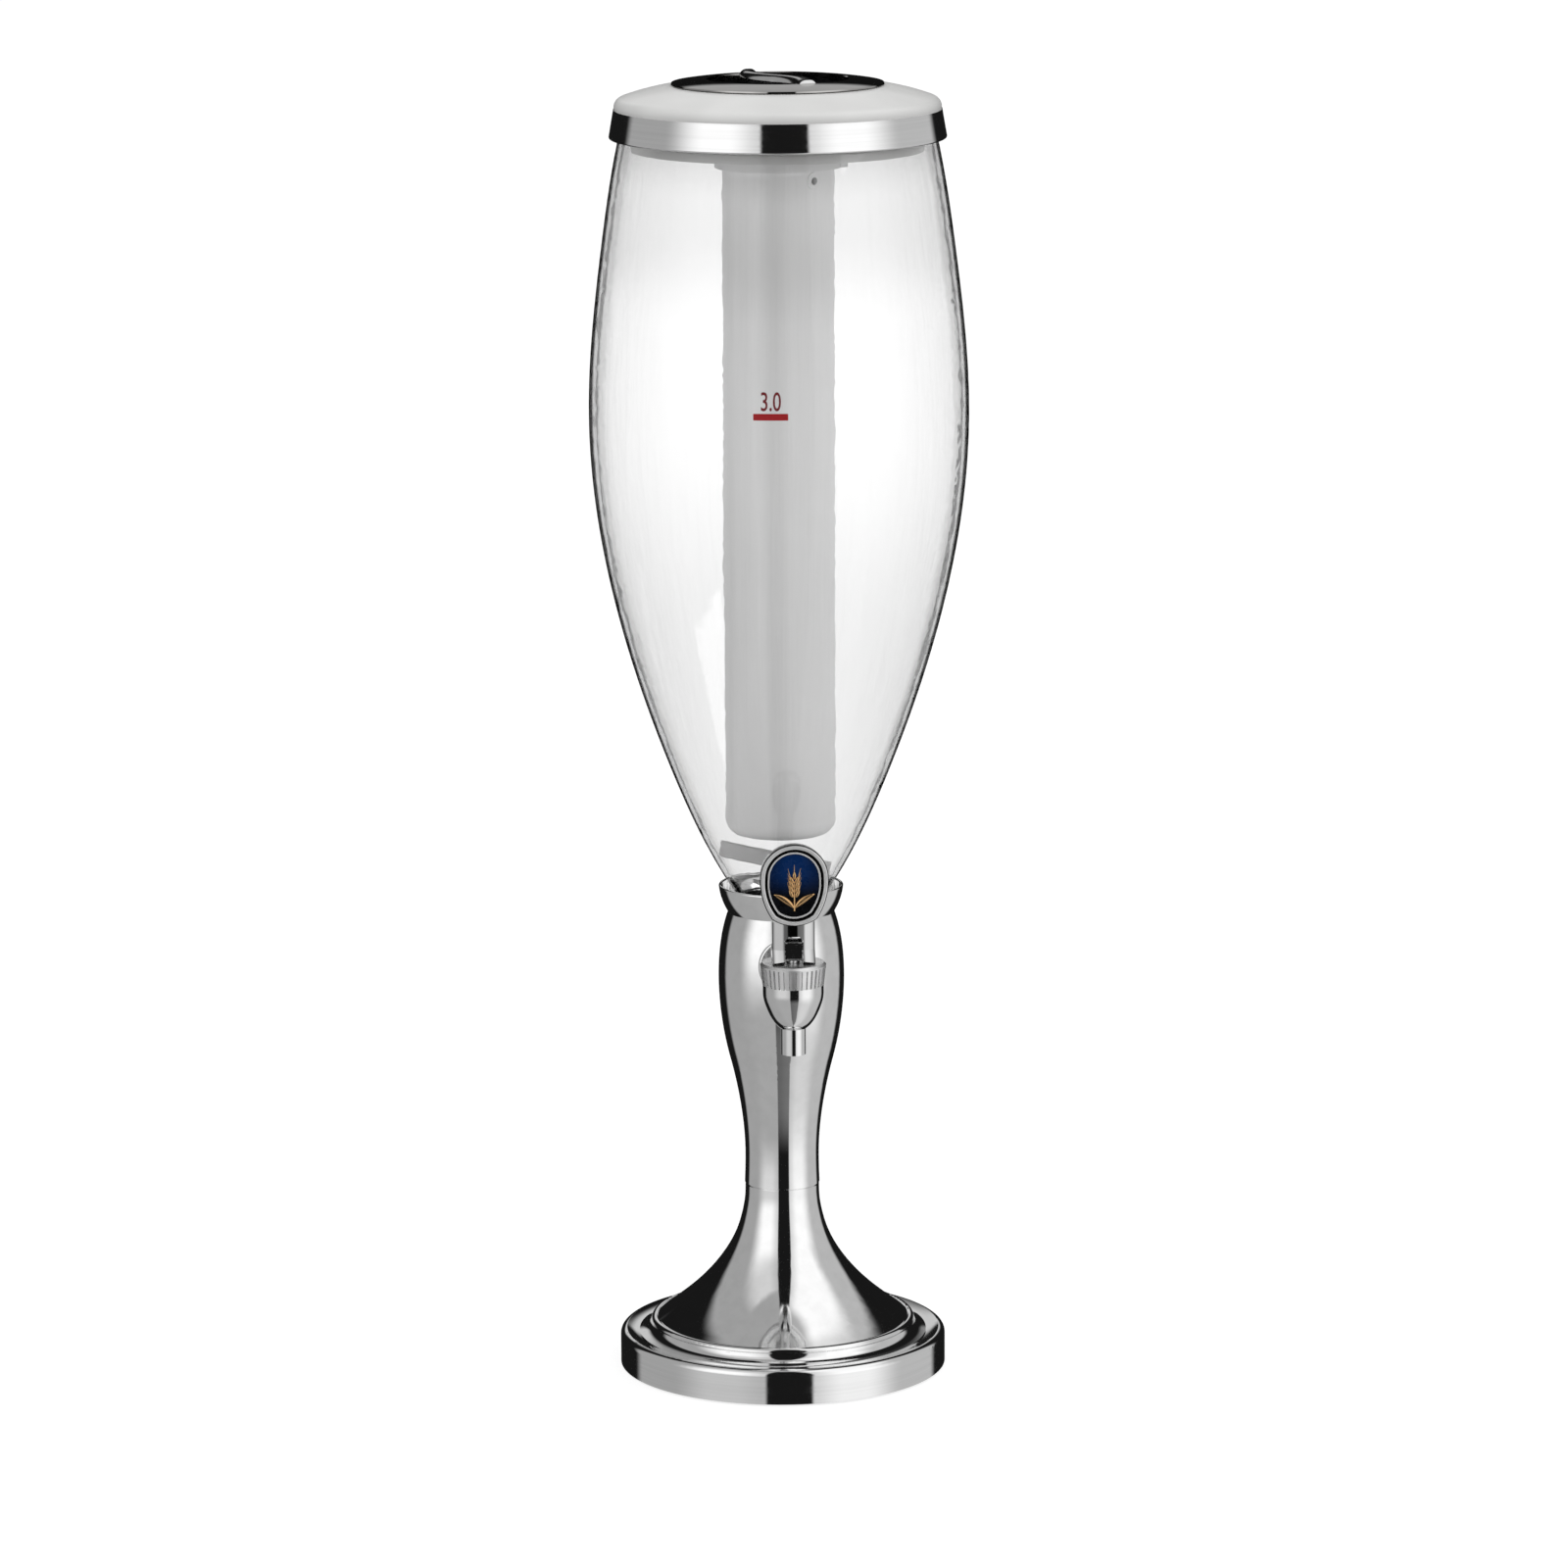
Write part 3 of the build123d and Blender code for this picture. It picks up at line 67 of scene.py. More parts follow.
# ---- Node graphs ----
class Graph:
    """Node tree of one material or of the world, with short calls that add and join nodes."""

    def __init__(self, tree: bpy.types.NodeTree) -> None:
        """Start from an empty tree."""
        self.tree = tree
        self.tree.nodes.clear()

    def node(self, kind: str, **settings: object) -> bpy.types.Node:
        """Add a node.

        Args:
            kind: Blender's name of the node's type.
            settings: properties of the node to set.

        Returns:
            The new node.
        """
        made = self.tree.nodes.new(kind)
        for name, value in settings.items():
            setattr(made, name, value)
        return made

    def feed(self, socket: Socket, value: object) -> None:
        """Link an input, or set it to a plain value.

        Args:
            socket: the input.
            value: another node's output, a number or a colour.
        """
        if isinstance(value, Socket):
            self.tree.links.new(value, socket)
        else:
            socket.default_value = value

    def math(self, operation: str, *values: object, clamp: bool = False) -> Socket:
        """Result of one sum.

        Args:
            operation: Blender's name of the sum.
            values: sockets or numbers, in the node's order.
            clamp: keep the result between 0 and 1.

        Returns:
            The result's socket.
        """
        made = self.node("ShaderNodeMath", operation=operation, use_clamp=clamp)
        for socket, value in zip(made.inputs, values):
            self.feed(socket, value)
        return made.outputs[0]

    def times(self, first: object, *others: object) -> Socket:
        """Product of sockets or numbers, multiplied from left to right.

        Args:
            first: the first factor.
            others: the rest of them.

        Returns:
            The product's socket.
        """
        for other in others:
            first = self.math("MULTIPLY", first, other)
        return first

    def span(self, value: object, low: float, high: float, start: float = 0.0, end: float = 1.0) -> Socket:
        """Smooth step of a value from one range to another.

        Args:
            value: the socket to map.
            low: where the step starts.
            high: where it ends.
            start: result below low.
            end: result above high.

        Returns:
            The mapped value's socket.
        """
        made = self.node("ShaderNodeMapRange", interpolation_type="SMOOTHSTEP")
        for name, number in (("Value", value), ("From Min", low), ("From Max", high)):
            self.feed(made.inputs[name], number)
        self.feed(made.inputs["To Min"], start)
        self.feed(made.inputs["To Max"], end)
        return made.outputs[0]

    def point(self, stretch: Triple = (1, 1, 1), turn: Triple = (0, 0, 0)) -> Socket:
        """Object coordinates, stretched and turned.

        Args:
            stretch: factor along each axis.
            turn: angles in degrees.

        Returns:
            The vector's socket.
        """
        source = self.node("ShaderNodeTexCoord")
        made = self.node("ShaderNodeMapping")
        self.feed(made.inputs["Vector"], source.outputs["Object"])
        made.inputs["Scale"].default_value = stretch
        made.inputs["Rotation"].default_value = [math.radians(angle) for angle in turn]
        return made.outputs[0]

    def parts(self, vector: Socket) -> tuple[Socket, Socket, Socket]:
        """Take a vector apart.

        Args:
            vector: the vector's socket.

        Returns:
            Sockets of its three numbers.
        """
        made = self.node("ShaderNodeSeparateXYZ")
        self.feed(made.inputs[0], vector)
        return tuple(made.outputs)

    def noise(self, scale: float, detail: float = 2.0, stretch: Triple = (1, 1, 1)) -> Socket:
        """Noise on Object coordinates, from 0 to 1.

        Args:
            scale: cells per metre, before the stretch.
            detail: number of finer layers.
            stretch: factor along each axis.

        Returns:
            The noise's socket.
        """
        made = self.node("ShaderNodeTexNoise")
        self.feed(made.inputs["Vector"], self.point(stretch))
        made.inputs["Scale"].default_value = scale
        made.inputs["Detail"].default_value = detail
        return made.outputs["Fac"]

    def streaks(self, way: Streak, fine: float) -> Socket:
        """Noise drawn out along a surface of revolution.

        Args:
            way: which way the lines run.
            fine: lines per metre across.

        Returns:
            The noise's socket, from 0 to 1.
        """
        if way is Streak.NONE:
            return self.noise(fine * 0.2, 3.0)
        if way is Streak.ROUND:
            return self.noise(fine, 2.0, (0.012, 0.012, 1.0))
        x, y, z = self.parts(self.point())
        made = self.node("ShaderNodeCombineXYZ")
        angle = self.math("ARCTAN2", x, y)
        self.feed(made.inputs[0], self.math("COSINE", angle))
        self.feed(made.inputs[1], self.math("SINE", angle))
        self.feed(made.inputs[2], self.times(z, 0.6))
        noise = self.node("ShaderNodeTexNoise")
        self.feed(noise.inputs["Vector"], made.outputs[0])
        noise.inputs["Scale"].default_value = fine * 0.04
        noise.inputs["Detail"].default_value = 3.0
        return noise.outputs["Fac"]

    def blend(self, share: object, first: object, second: object) -> Socket:
        """Colour between two others.

        Args:
            share: how much of the second, from 0 to 1.
            first: colour or socket at 0.
            second: colour or socket at 1.

        Returns:
            The colour's socket.
        """
        made = self.node("ShaderNodeMix", data_type="RGBA")
        self.feed(made.inputs[0], share)
        self.feed(made.inputs[6], first)
        self.feed(made.inputs[7], second)
        return made.outputs[2]

    def bump(self, height: Socket, strength: float, depth: float) -> Socket:
        """Surface normal of a height pattern.

        Args:
            height: pattern from 0 to 1.
            strength: how much of it shows.
            depth: height of 1, in metres.

        Returns:
            The normal's socket.
        """
        made = self.node("ShaderNodeBump")
        made.inputs["Strength"].default_value = strength
        made.inputs["Distance"].default_value = depth
        self.feed(made.inputs["Height"], height)
        return made.outputs[0]

    def shine(self, **inputs: object) -> bpy.types.Node:
        """Add a Principled shader.

        Args:
            inputs: sockets for the inputs so named, with an underscore for each space in a name.

        Returns:
            The shader's node.
        """
        made = self.node("ShaderNodeBsdfPrincipled")
        for name, value in inputs.items():
            self.feed(made.inputs[name.replace("_", " ")], value)
        return made

    def end(self, surface: Socket, kind: str = "ShaderNodeOutputMaterial") -> None:
        """Join the finished shader to a new output.

        Args:
            surface: the shader's socket.
            kind: Blender's name of the output's type.
        """
        self.feed(self.node(kind).inputs["Surface"], surface)


def grey(level: float) -> tuple[float, float, float, float]:
    """Neutral colour of one level."""
    return (level, level, level, 1.0)


# ---- Finishes ----
@dataclass(frozen=True)
class Finish:
    """One finish: its name and the material that it makes."""

    name: str

    def material(self) -> bpy.types.Material:
        """Make the finish's material, or find it if it is already made.

        Returns:
            The material.
        """
        name = f"finish_{self.name}"
        found = bpy.data.materials.get(name)
        if found is None:
            found = bpy.data.materials.new(name)
            found.use_nodes = True
            self.build(Graph(found.node_tree))
        return found

    def build(self, graph: Graph) -> None:
        """Fill the material's node tree."""
        raise NotImplementedError

    def dress(self, *nodes: str) -> None:
        """Give CAD nodes this finish in all their slots.

        Args:
            nodes: the nodes' names.
        """
        for name in nodes:
            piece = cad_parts[name]
            if not piece.data.materials:
                piece.data.materials.append(None)
            for slot in piece.material_slots:
                slot.material = self.material()
            LOG.info("%s: %s", name, self.name)


@dataclass(frozen=True)
class Metal(Finish):
    """Plated or bare metal with fine lines and slow unevenness.

    Attributes:
        level: brightness, before the tint.
        tint: share of red, green and blue.
        smooth: roughness between the lines.
        rough: roughness on the lines.
        way: which way the lines run.
        fine: lines per metre.
        relief: how much of the lines' height shows.
        wave: height of the slow unevenness against the lines'.
        edge: brightness seen edge on.
        face: roughness of what looks to the front or back, or 0 for no more than the rest.
        side: brightness of what looks to the sides, where the face differs: painted shade.
        thread: pitch of a screw thread in metres, or 0 for none.
    """

    level: float = 0.88
    tint: Triple = (1.0, 1.0, 1.0)
    smooth: float = 0.03
    rough: float = 0.08
    way: Streak = Streak.NONE
    fine: float = 900.0
    relief: float = 0.02
    wave: float = 0.0
    edge: float = 1.0
    face: float = 0.0
    side: float = 1.0
    thread: float = 0.0

    def build(self, graph: Graph) -> None:
        """Fill in metal whose roughness and colour follow its lines, with painted shade on what looks to
        the sides where face is set.

        Args:
            graph: the material's graph.
        """
        lines = graph.streaks(self.way, self.fine)
        slow = graph.noise(18.0, 2.0)
        share = graph.math("ADD", graph.times(lines, 0.65), graph.times(slow, 0.35))
        rough = graph.span(share, 0.3, 0.75, self.smooth, self.rough)
        if self.face:
            facing = graph.node("ShaderNodeNewGeometry").outputs["Normal"]
            front = graph.math("ABSOLUTE", graph.parts(facing)[1])
            rough = graph.math("MAXIMUM", rough, graph.span(front, 0.55, 0.9, 0.0, self.face))
        bright = [self.level * part for part in self.tint] + [1.0]
        dull = [self.level * 0.95 * part for part in self.tint] + [1.0]
        colour = graph.blend(graph.span(lines, 0.35, 0.7), bright, dull)
        # Painted shade: what looks to the sides takes the side brightness.
        if self.face:
            colour = graph.blend(graph.span(front, 0.8, 0.95), grey(self.level * self.side), colour)
        height = graph.math("ADD", lines, graph.times(slow, self.wave))
        normal = graph.bump(height, self.relief, 0.00006)
        if self.thread:
            z = graph.parts(graph.point())[2]
            turns = graph.math("SINE", graph.times(z, 2 * math.pi / self.thread))
            normal = graph.bump(turns, 1.0, self.thread * 0.2)
        shader = graph.shine(Base_Color=colour, Roughness=rough, Normal=normal)
        shader.inputs["Metallic"].default_value = 1.0
        shader.inputs["Specular Tint"].default_value = grey(self.edge)
        graph.end(shader.outputs[0])


@dataclass(frozen=True)
class Moulded(Finish):
    """Moulded plastic or rubber with a fine grain.

    Attributes:
        colour: red, green and blue.
        rough: middle of its roughness.
        spread: range of its roughness.
        grain: how much of the grain's height shows.
        grain_scale: grains per metre.
        coat: strength of a glossy skin.
        clear: share of light that passes through.
    """

    colour: Triple = (0.5, 0.5, 0.5)
    rough: float = 0.35
    spread: float = 0.08
    grain: float = 0.08
    grain_scale: float = 900.0
    coat: float = 0.0
    clear: float = 0.0

    def build(self, graph: Graph) -> None:
        """Fill in plastic whose colour, roughness and grain vary a little.

        Args:
            graph: the material's graph.
        """
        slow = graph.noise(25.0, 2.0)
        fine = graph.noise(self.grain_scale, 3.0)
        bright = [min(1.0, part * 1.03) for part in self.colour] + [1.0]
        dull = [part * 0.95 for part in self.colour] + [1.0]
        colour = graph.blend(graph.span(slow, 0.3, 0.7), bright, dull)
        rough = graph.span(fine, 0.3, 0.7, self.rough - self.spread / 2, self.rough + self.spread / 2)
        normal = graph.bump(fine, self.grain, 0.00005)
        shader = graph.shine(Base_Color=colour, Roughness=rough, Normal=normal)
        shader.inputs["Coat Weight"].default_value = self.coat
        shader.inputs["Coat Roughness"].default_value = 0.08
        shader.inputs["Transmission Weight"].default_value = self.clear
        graph.end(shader.outputs[0])


@dataclass(frozen=True)
class ClearShell(Finish):
    """Clear moulded plastic with drawn lines, painted shade that darkens its edges seen edge on, and
    painted shade and a painted reflection of the lid at set heights.

    Attributes:
        index: refractive index.
        painted_rim_outline: painted shade: share of light let through at the very edge.
        painted_rim_shade: painted shade: how much darker it grows towards the edge.
        painted_inner_line: depth of a painted dark outline just inside the edge.
        low: painted shade at the foot: the heights where it is full and where it ends, and its depth.
        high: painted shade round the shoulder: the heights where it starts and is full, and its depth.
        top: painted reflection of the lid at the mouth, in the same way.
    """

    index: float = 1.49
    painted_rim_outline: float = 0.02
    painted_rim_shade: float = 0.25
    painted_inner_line: float = 0.24
    low: Triple = (0.295, 0.392, 0.075)
    high: Triple = (0.436, 0.460, 0.075)
    top: Triple = (0.485, 0.503, 0.14)

    def tint(self, graph: Graph) -> Socket:
        """Work out how much light one wall lets through, with painted shade towards its edge and at set
        heights, and a painted reflection of the lid at the mouth.

        Args:
            graph: the material's graph.

        Returns:
            The share's socket, from 0 to 1.
        """
        facing = graph.node("ShaderNodeLayerWeight")
        facing.inputs["Blend"].default_value = 0.5
        away = facing.outputs["Facing"]
        z = graph.parts(graph.point())[2]
        # Painted shade: darker towards the edge seen edge on, with a painted dark outline just inside it,
        # and darkest at the very edge.
        share = graph.math("SUBTRACT", 1.0, graph.times(graph.math("POWER", away, 1.5), self.painted_rim_shade))
        painted_inner_line = graph.times(graph.span(away, 0.64, 0.71), graph.span(away, 0.73, 0.78, self.painted_inner_line, 0.0))
        share = graph.math("SUBTRACT", share, painted_inner_line)
        share = graph.times(share, graph.span(away, 0.77, 0.83, 1.0, self.painted_rim_outline))
        # Painted shade at the foot and round the shoulder, and a painted reflection of the lid at the
        # mouth.
        clear_from, clear_to, depth = self.low
        share = graph.times(share, graph.span(z, clear_from, clear_to, 1.0 - depth, 1.0))
        for shade_from, shade_to, depth in (self.high, self.top):
            share = graph.times(share, graph.span(z, shade_from, shade_to, 1.0, 1.0 - depth))
        lines = graph.span(graph.streaks(Streak.UPRIGHT, 1500.0), 0.4, 0.75)
        rising = graph.span(away, 0.15, 0.6, 0.012, 0.08)
        contrast = graph.times(rising, graph.span(away, 0.6, 0.7, 1.0, 0.2))
        return graph.math("SUBTRACT", share, graph.times(lines, contrast))

    def build(self, graph: Graph) -> None:
        """Fill in a glass-like shell that lets lamps through.

        Args:
            graph: the material's graph.
        """
        colour = graph.node("ShaderNodeCombineColor")
        tint = self.tint(graph)
        for socket in colour.inputs:
            graph.feed(socket, tint)
        glass = graph.shine(Base_Color=colour.outputs[0])
        glass.inputs["Roughness"].default_value = 0.0
        glass.inputs["IOR"].default_value = self.index
        glass.inputs["Transmission Weight"].default_value = 1.0
        path = graph.node("ShaderNodeLightPath")
        open_way = graph.node("ShaderNodeBsdfTransparent")
        open_way.inputs[0].default_value = grey(0.97)
        mix = graph.node("ShaderNodeMixShader")
        graph.feed(mix.inputs[0], path.outputs["Is Shadow Ray"])
        graph.feed(mix.inputs[1], glass.outputs[0])
        graph.feed(mix.inputs[2], open_way.outputs[0])
        graph.end(mix.outputs[0])


@dataclass(frozen=True)
class Frost(Finish):
    """Frosted plastic with a fine etched grain, and painted light on it: soft upright zones of painted
    highlight and painted shade, and a foot and head painted paler.

    Attributes:
        level: brightness.
        clear: share of light that passes through below the head.
        painted_stripes: upright zones of painted highlight and painted shade: each one's middle, half
            widths where it is full and where it ends, and what it adds.
        foot: foot painted paler, as painted light: the heights where it is full and where it ends, and what
            it adds.
        head: head painted paler, as painted light: the heights where it starts and is full, and what it
            adds.
    """

    level: float = 0.78
    clear: float = 0.2
    painted_stripes: tuple[tuple[float, float, float, float], ...] = (
        (-8.0, 2.0, 17.0, -0.09),
        (-27.0, 2.0, 17.0, 0.05),
        (-110.0, 40.0, 60.0, -0.1),
    )
    foot: Triple = (0.225, 0.400, 0.22)
    head: Triple = (0.455, 0.495, 0.20)

    def painted_light(self, graph: Graph) -> Socket:
        """Painted light: soft upright zones of painted highlight and painted shade round the wall, and a
        foot and head painted paler.

        Args:
            graph: the material's graph.

        Returns:
            Socket of a factor round 1.
        """
        x, y, z = graph.parts(graph.point())
        azimuth = graph.math("DEGREES", graph.math("ARCTAN2", x, graph.times(y, -1.0)))
        factor = graph.span(z, self.foot[0], self.foot[1], 1.0 + self.foot[2], 1.0)
        factor = graph.times(factor, graph.span(z, self.head[0], self.head[1], 1.0, 1.0 + self.head[2]))
        for middle, full, end, depth in self.painted_stripes:
            away = graph.math("ABSOLUTE", graph.math("SUBTRACT", azimuth, middle))
            factor = graph.times(factor, graph.span(away, full, end, 1.0 + depth, 1.0))
        return factor

    def build(self, graph: Graph) -> None:
        """Fill in cloudy plastic that is denser near its head.

        Args:
            graph: the material's graph.
        """
        fine = graph.streaks(Streak.UPRIGHT, 700.0)
        grain = graph.noise(2600.0, 3.0)
        cloud = graph.noise(30.0, 2.0)
        share = graph.math("ADD", graph.times(fine, 0.6), graph.times(cloud, 0.4))
        # Painted highlight and painted shade, by azimuth and height, scale the colour.
        painted_light = self.painted_light(graph)
        level = graph.times(painted_light, graph.span(share, 0.3, 0.7, self.level, self.level * 1.05))
        colour = graph.node("ShaderNodeCombineColor")
        for socket in colour.inputs:
            graph.feed(socket, graph.math("MINIMUM", level, 0.95))
        rough = graph.span(grain, 0.3, 0.7, 0.38, 0.5)
        normal = graph.bump(grain, 0.15, 0.00004)
        shader = graph.shine(Base_Color=colour.outputs[0], Roughness=rough, Normal=normal)
        z = graph.parts(graph.point())[2]
        clear = graph.span(z, self.head[0], self.head[1], self.clear, 0.0)
        graph.feed(shader.inputs["Transmission Weight"], clear)
        shader.inputs["IOR"].default_value = 1.45
        graph.end(shader.outputs[0])


@dataclass(frozen=True)
class Enamel(Finish):
    """Translucent enamel that fades from blue above to near black below and at the sides.

    Attributes:
        low: height where it is darkest.
        high: height where it is bluest.
        half_width: half the badge's width.
        dark: colour below.
        blue: colour above.
        side: colour that its sides fade towards.
    """

    low: float = 0.2090
    high: float = 0.2200
    half_width: float = 0.01
    dark: Triple = (0.0020, 0.0024, 0.0035)
    blue: Triple = (0.0012, 0.026, 0.125)
    side: Triple = (0.001, 0.0015, 0.003)

    def build(self, graph: Graph) -> None:
        """Fill in slightly cloudy enamel under a clear coat.

        Args:
            graph: the material's graph.
        """
        x, _, z = graph.parts(graph.point())
        rise = graph.span(z, self.low, self.high)
        cloud = graph.noise(420.0, 3.0)
        drift = graph.times(graph.math("SUBTRACT", cloud, 0.5), 0.12)
        share = graph.math("ADD", rise, drift, clamp=True)
        colour = graph.blend(share, [*self.dark, 1.0], [*self.blue, 1.0])
        across = graph.math("DIVIDE", x, self.half_width)
        fall = graph.span(graph.math("ABSOLUTE", across), 0.2, 1.0, 1.0, 0.55)
        colour = graph.blend(graph.math("SUBTRACT", 1.0, fall), colour, [*self.side, 1.0])
        shader = graph.shine(Base_Color=colour, Roughness=graph.span(cloud, 0.3, 0.7, 0.22, 0.32))
        shader.inputs["Specular IOR Level"].default_value = 0.25
        shader.inputs["Coat Weight"].default_value = 0.35
        shader.inputs["Coat Roughness"].default_value = 0.05
        graph.end(shader.outputs[0])


@dataclass(frozen=True)
class HandleMetal(Metal):
    """Chrome of the handle, with painted shade along the legs' edges, and black painted shade on the
    plate's front, seen in the groove round the inlay.

    Attributes:
        plate_front: Y in front of which the plate is painted black as shade.
        plate_foot: height above which the handle is a plate, and below which it is two legs.
        leg_inner: distance of a leg's inner edge from the middle.
        leg_outer: distance of its outer edge.
        inner_fade: width of the painted shade along the inner edge.
        outer_fade: width of the painted shade along the outer edge.
        edge_shade: brightness of the painted shade at the very edges.
        painted_groove_shade: brightness of the black painted shade in the groove.
    """

    plate_front: float = -0.0637
    plate_foot: float = 0.1985
    leg_inner: float = 0.0037
    leg_outer: float = 0.0085
    inner_fade: float = 0.001
    outer_fade: float = 0.0012
    edge_shade: float = 0.25
    painted_groove_shade: float = 0.008

    def build(self, graph: Graph) -> None:
        """Fill in chrome, with painted shade along the legs' edges, and black painted shade in front of a
        plane.

        Args:
            graph: the material's graph.
        """
        lines = graph.noise(200.0, 2.0)
        x, y, z = graph.parts(graph.point())
        plate = graph.math("GREATER_THAN", z, self.plate_foot)
        # Painted shade: the plate's front, seen in the groove round the inlay, is black and not metal.
        front = graph.times(graph.math("LESS_THAN", y, self.plate_front), plate)
        away = graph.math("ABSOLUTE", x)
        # Painted shade along the legs' inner and outer edges.
        inner = graph.span(away, self.leg_inner, self.leg_inner + self.inner_fade, self.edge_shade, 1.0)
        outer = graph.span(away, self.leg_outer - self.outer_fade, self.leg_outer, 1.0, self.edge_shade)
        leg = graph.math("MAXIMUM", graph.times(inner, outer), plate)
        chrome = graph.blend(leg, grey(0.0), grey(self.level))
        colour = graph.blend(front, chrome, grey(self.painted_groove_shade))
        rough = graph.span(lines, 0.3, 0.7, self.smooth, self.rough)
        normal = graph.bump(lines, 0.03, 0.00004)
        shader = graph.shine(Base_Color=colour, Roughness=rough, Normal=normal)
        graph.feed(shader.inputs["Metallic"], graph.math("SUBTRACT", 1.0, front))
        graph.end(shader.outputs[0])


@dataclass(frozen=True)
class Print(Finish):
    """Printed ink, a little uneven."""

    colour: Triple = (0.45, 0.02, 0.02)

    def build(self, graph: Graph) -> None:
        """Fill in matt ink with faint thin places.

        Args:
            graph: the material's graph.
        """
        speck = graph.noise(3000.0, 2.0)
        thin = [min(1.0, part * 1.25 + 0.01) for part in self.colour] + [1.0]
        colour = graph.blend(graph.span(speck, 0.4, 0.75), [*self.colour, 1.0], thin)
        shader = graph.shine(Base_Color=colour, Roughness=graph.span(speck, 0.3, 0.7, 0.4, 0.55))
        graph.end(shader.outputs[0])


CHROME_BAND = Metal("chrome_band", way=Streak.ROUND, rough=0.10, relief=0.05)
CHROME_TURNED = Metal("chrome_turned", wave=1.5)
CHROME_CAST = Metal("chrome_cast", rough=0.09, wave=1.2, relief=0.05)
CHROME_SATIN = Metal("chrome_satin", level=0.9, smooth=0.3, rough=0.45)
# The bezel's side of 0.05 paints near-black shade on what looks to the sides.
CHROME_TRIM = Metal("chrome_trim", level=0.95, smooth=0.04, rough=0.1, face=0.5, side=0.05)
CHROME_GRIP = Metal("chrome_grip", level=0.7, smooth=0.08, rough=0.2, edge=0.8)
SMOKED = Metal("chrome_smoked", level=0.5, tint=(1.0, 0.98, 0.96), smooth=0.02, rough=0.06, edge=0.8)
STEEL = Metal("steel_turned", level=0.55, smooth=0.2, rough=0.35, way=Streak.ROUND, relief=0.05)
STEEL_THREAD = Metal("steel_threaded", level=0.5, smooth=0.22, rough=0.38, thread=0.00125)
CAST_IRON = Metal("cast_iron", level=0.16, smooth=0.5, rough=0.75, wave=2.0, relief=0.3)
HANDLE_CHROME = HandleMetal("handle_chrome", level=0.64, rough=0.08)
GOLD = Metal("gold_relief", level=0.95, tint=(0.80, 0.50, 0.24), smooth=0.18, rough=0.32)
LID_WHITE = Moulded("lid_plastic", colour=(0.82, 0.82, 0.81), rough=0.36, grain=0.05, coat=0.15)
WELL_BLACK = Moulded("well_plastic", colour=(0.008, 0.008, 0.009), rough=0.18, coat=0.3, grain=0.04)
COVER_BLACK = Moulded("cover_plastic", colour=(0.02, 0.02, 0.021), rough=0.5, grain=0.25)
RUBBER = Moulded("rubber", colour=(0.018, 0.018, 0.019), rough=0.7, grain=0.3, grain_scale=600.0)
SILICONE = Moulded("silicone", colour=(0.62, 0.62, 0.60), rough=0.42, clear=0.2, grain=0.05)
BULB_CLEAR = ClearShell("bulb_clear")
TUBE_FROST = Frost("tube_frosted")
STRIP_FROST = Frost("strip_frosted", level=0.62, clear=0.15)
ENAMEL = Enamel("badge_enamel")
INK_DARK = Print("ink_digits", colour=(0.17, 0.008, 0.012))
INK_RED = Print("ink_bar", colour=(0.38, 0.004, 0.008))


# ---- Modelling helpers ----
def start_clean() -> None:
    """Leave edit mode's tools nothing to act on but what is added next."""
    bpy.ops.object.select_all(action="DESELECT")


def edit_all() -> bpy.types.Object:
    """Enter edit mode on the active object with all of it selected, and return it."""
    bpy.ops.object.mode_set(mode="EDIT")
    bpy.ops.mesh.select_all(action="SELECT")
    return bpy.context.object


def finish_piece(name: str, body: Body, finish: Finish) -> bpy.types.Object:
    """Name, place and dress the active object.

    Args:
        name: the piece's name.
        body: the body it rides on.
        finish: its finish.

    Returns:
        The finished piece, with its place in its mesh.
    """
    piece = bpy.context.object
    bpy.ops.object.transform_apply(location=True, rotation=True, scale=True)
    piece.name = piece.data.name = name
    piece.data.materials.clear()
    piece.data.materials.append(finish.material())
    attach(piece, body.value)
    LOG.info("%s: %d faces, %s", name, len(piece.data.polygons), finish.name)
    return piece


def select_faces(piece: bpy.types.Object, test: Callable[[Vector, Vector], bool]) -> None:
    """Select in edit mode the faces whose middle and normal pass a test, and no others.

    Args:
        piece: mesh in edit mode.
        test: takes a face's middle and its normal.
    """
    bpy.ops.mesh.select_mode(type="FACE")
    bpy.ops.mesh.select_all(action="DESELECT")
    mesh = bmesh.from_edit_mesh(piece.data)
    for face in mesh.faces:
        face.select_set(test(face.calc_center_median(), face.normal))
    bmesh.update_edit_mesh(piece.data)


def select_points(piece: bpy.types.Object, test: Callable[[Vector], bool]) -> None:
    """Select in edit mode the vertices that pass a test, and no others.

    Args:
        piece: mesh in edit mode.
        test: takes a vertex's place.
    """
    bpy.ops.mesh.select_mode(type="VERT")
    bpy.ops.mesh.select_all(action="DESELECT")
    mesh = bmesh.from_edit_mesh(piece.data)
    for vertex in mesh.verts:
        vertex.select_set(test(vertex.co))
    mesh.select_flush_mode()
    bmesh.update_edit_mesh(piece.data)


def copies(source: bpy.types.Object, places: list[Matrix]) -> list[bpy.types.Object]:
    """Copy a piece, each copy with its own mesh, moved to its place.

    Args:
        source: the piece to copy, which is removed.
        places: transforms of the copies.

    Returns:
        The copies.
    """
    made = []
    for place in places:
        copy = source.copy()
        copy.data = source.data.copy()
        copy.data.transform(place)
        if place.to_3x3().determinant() < 0:
            copy.data.flip_normals()
        bpy.context.collection.objects.link(copy)
        made.append(copy)
    bpy.data.objects.remove(source, do_unlink=True)
    return made


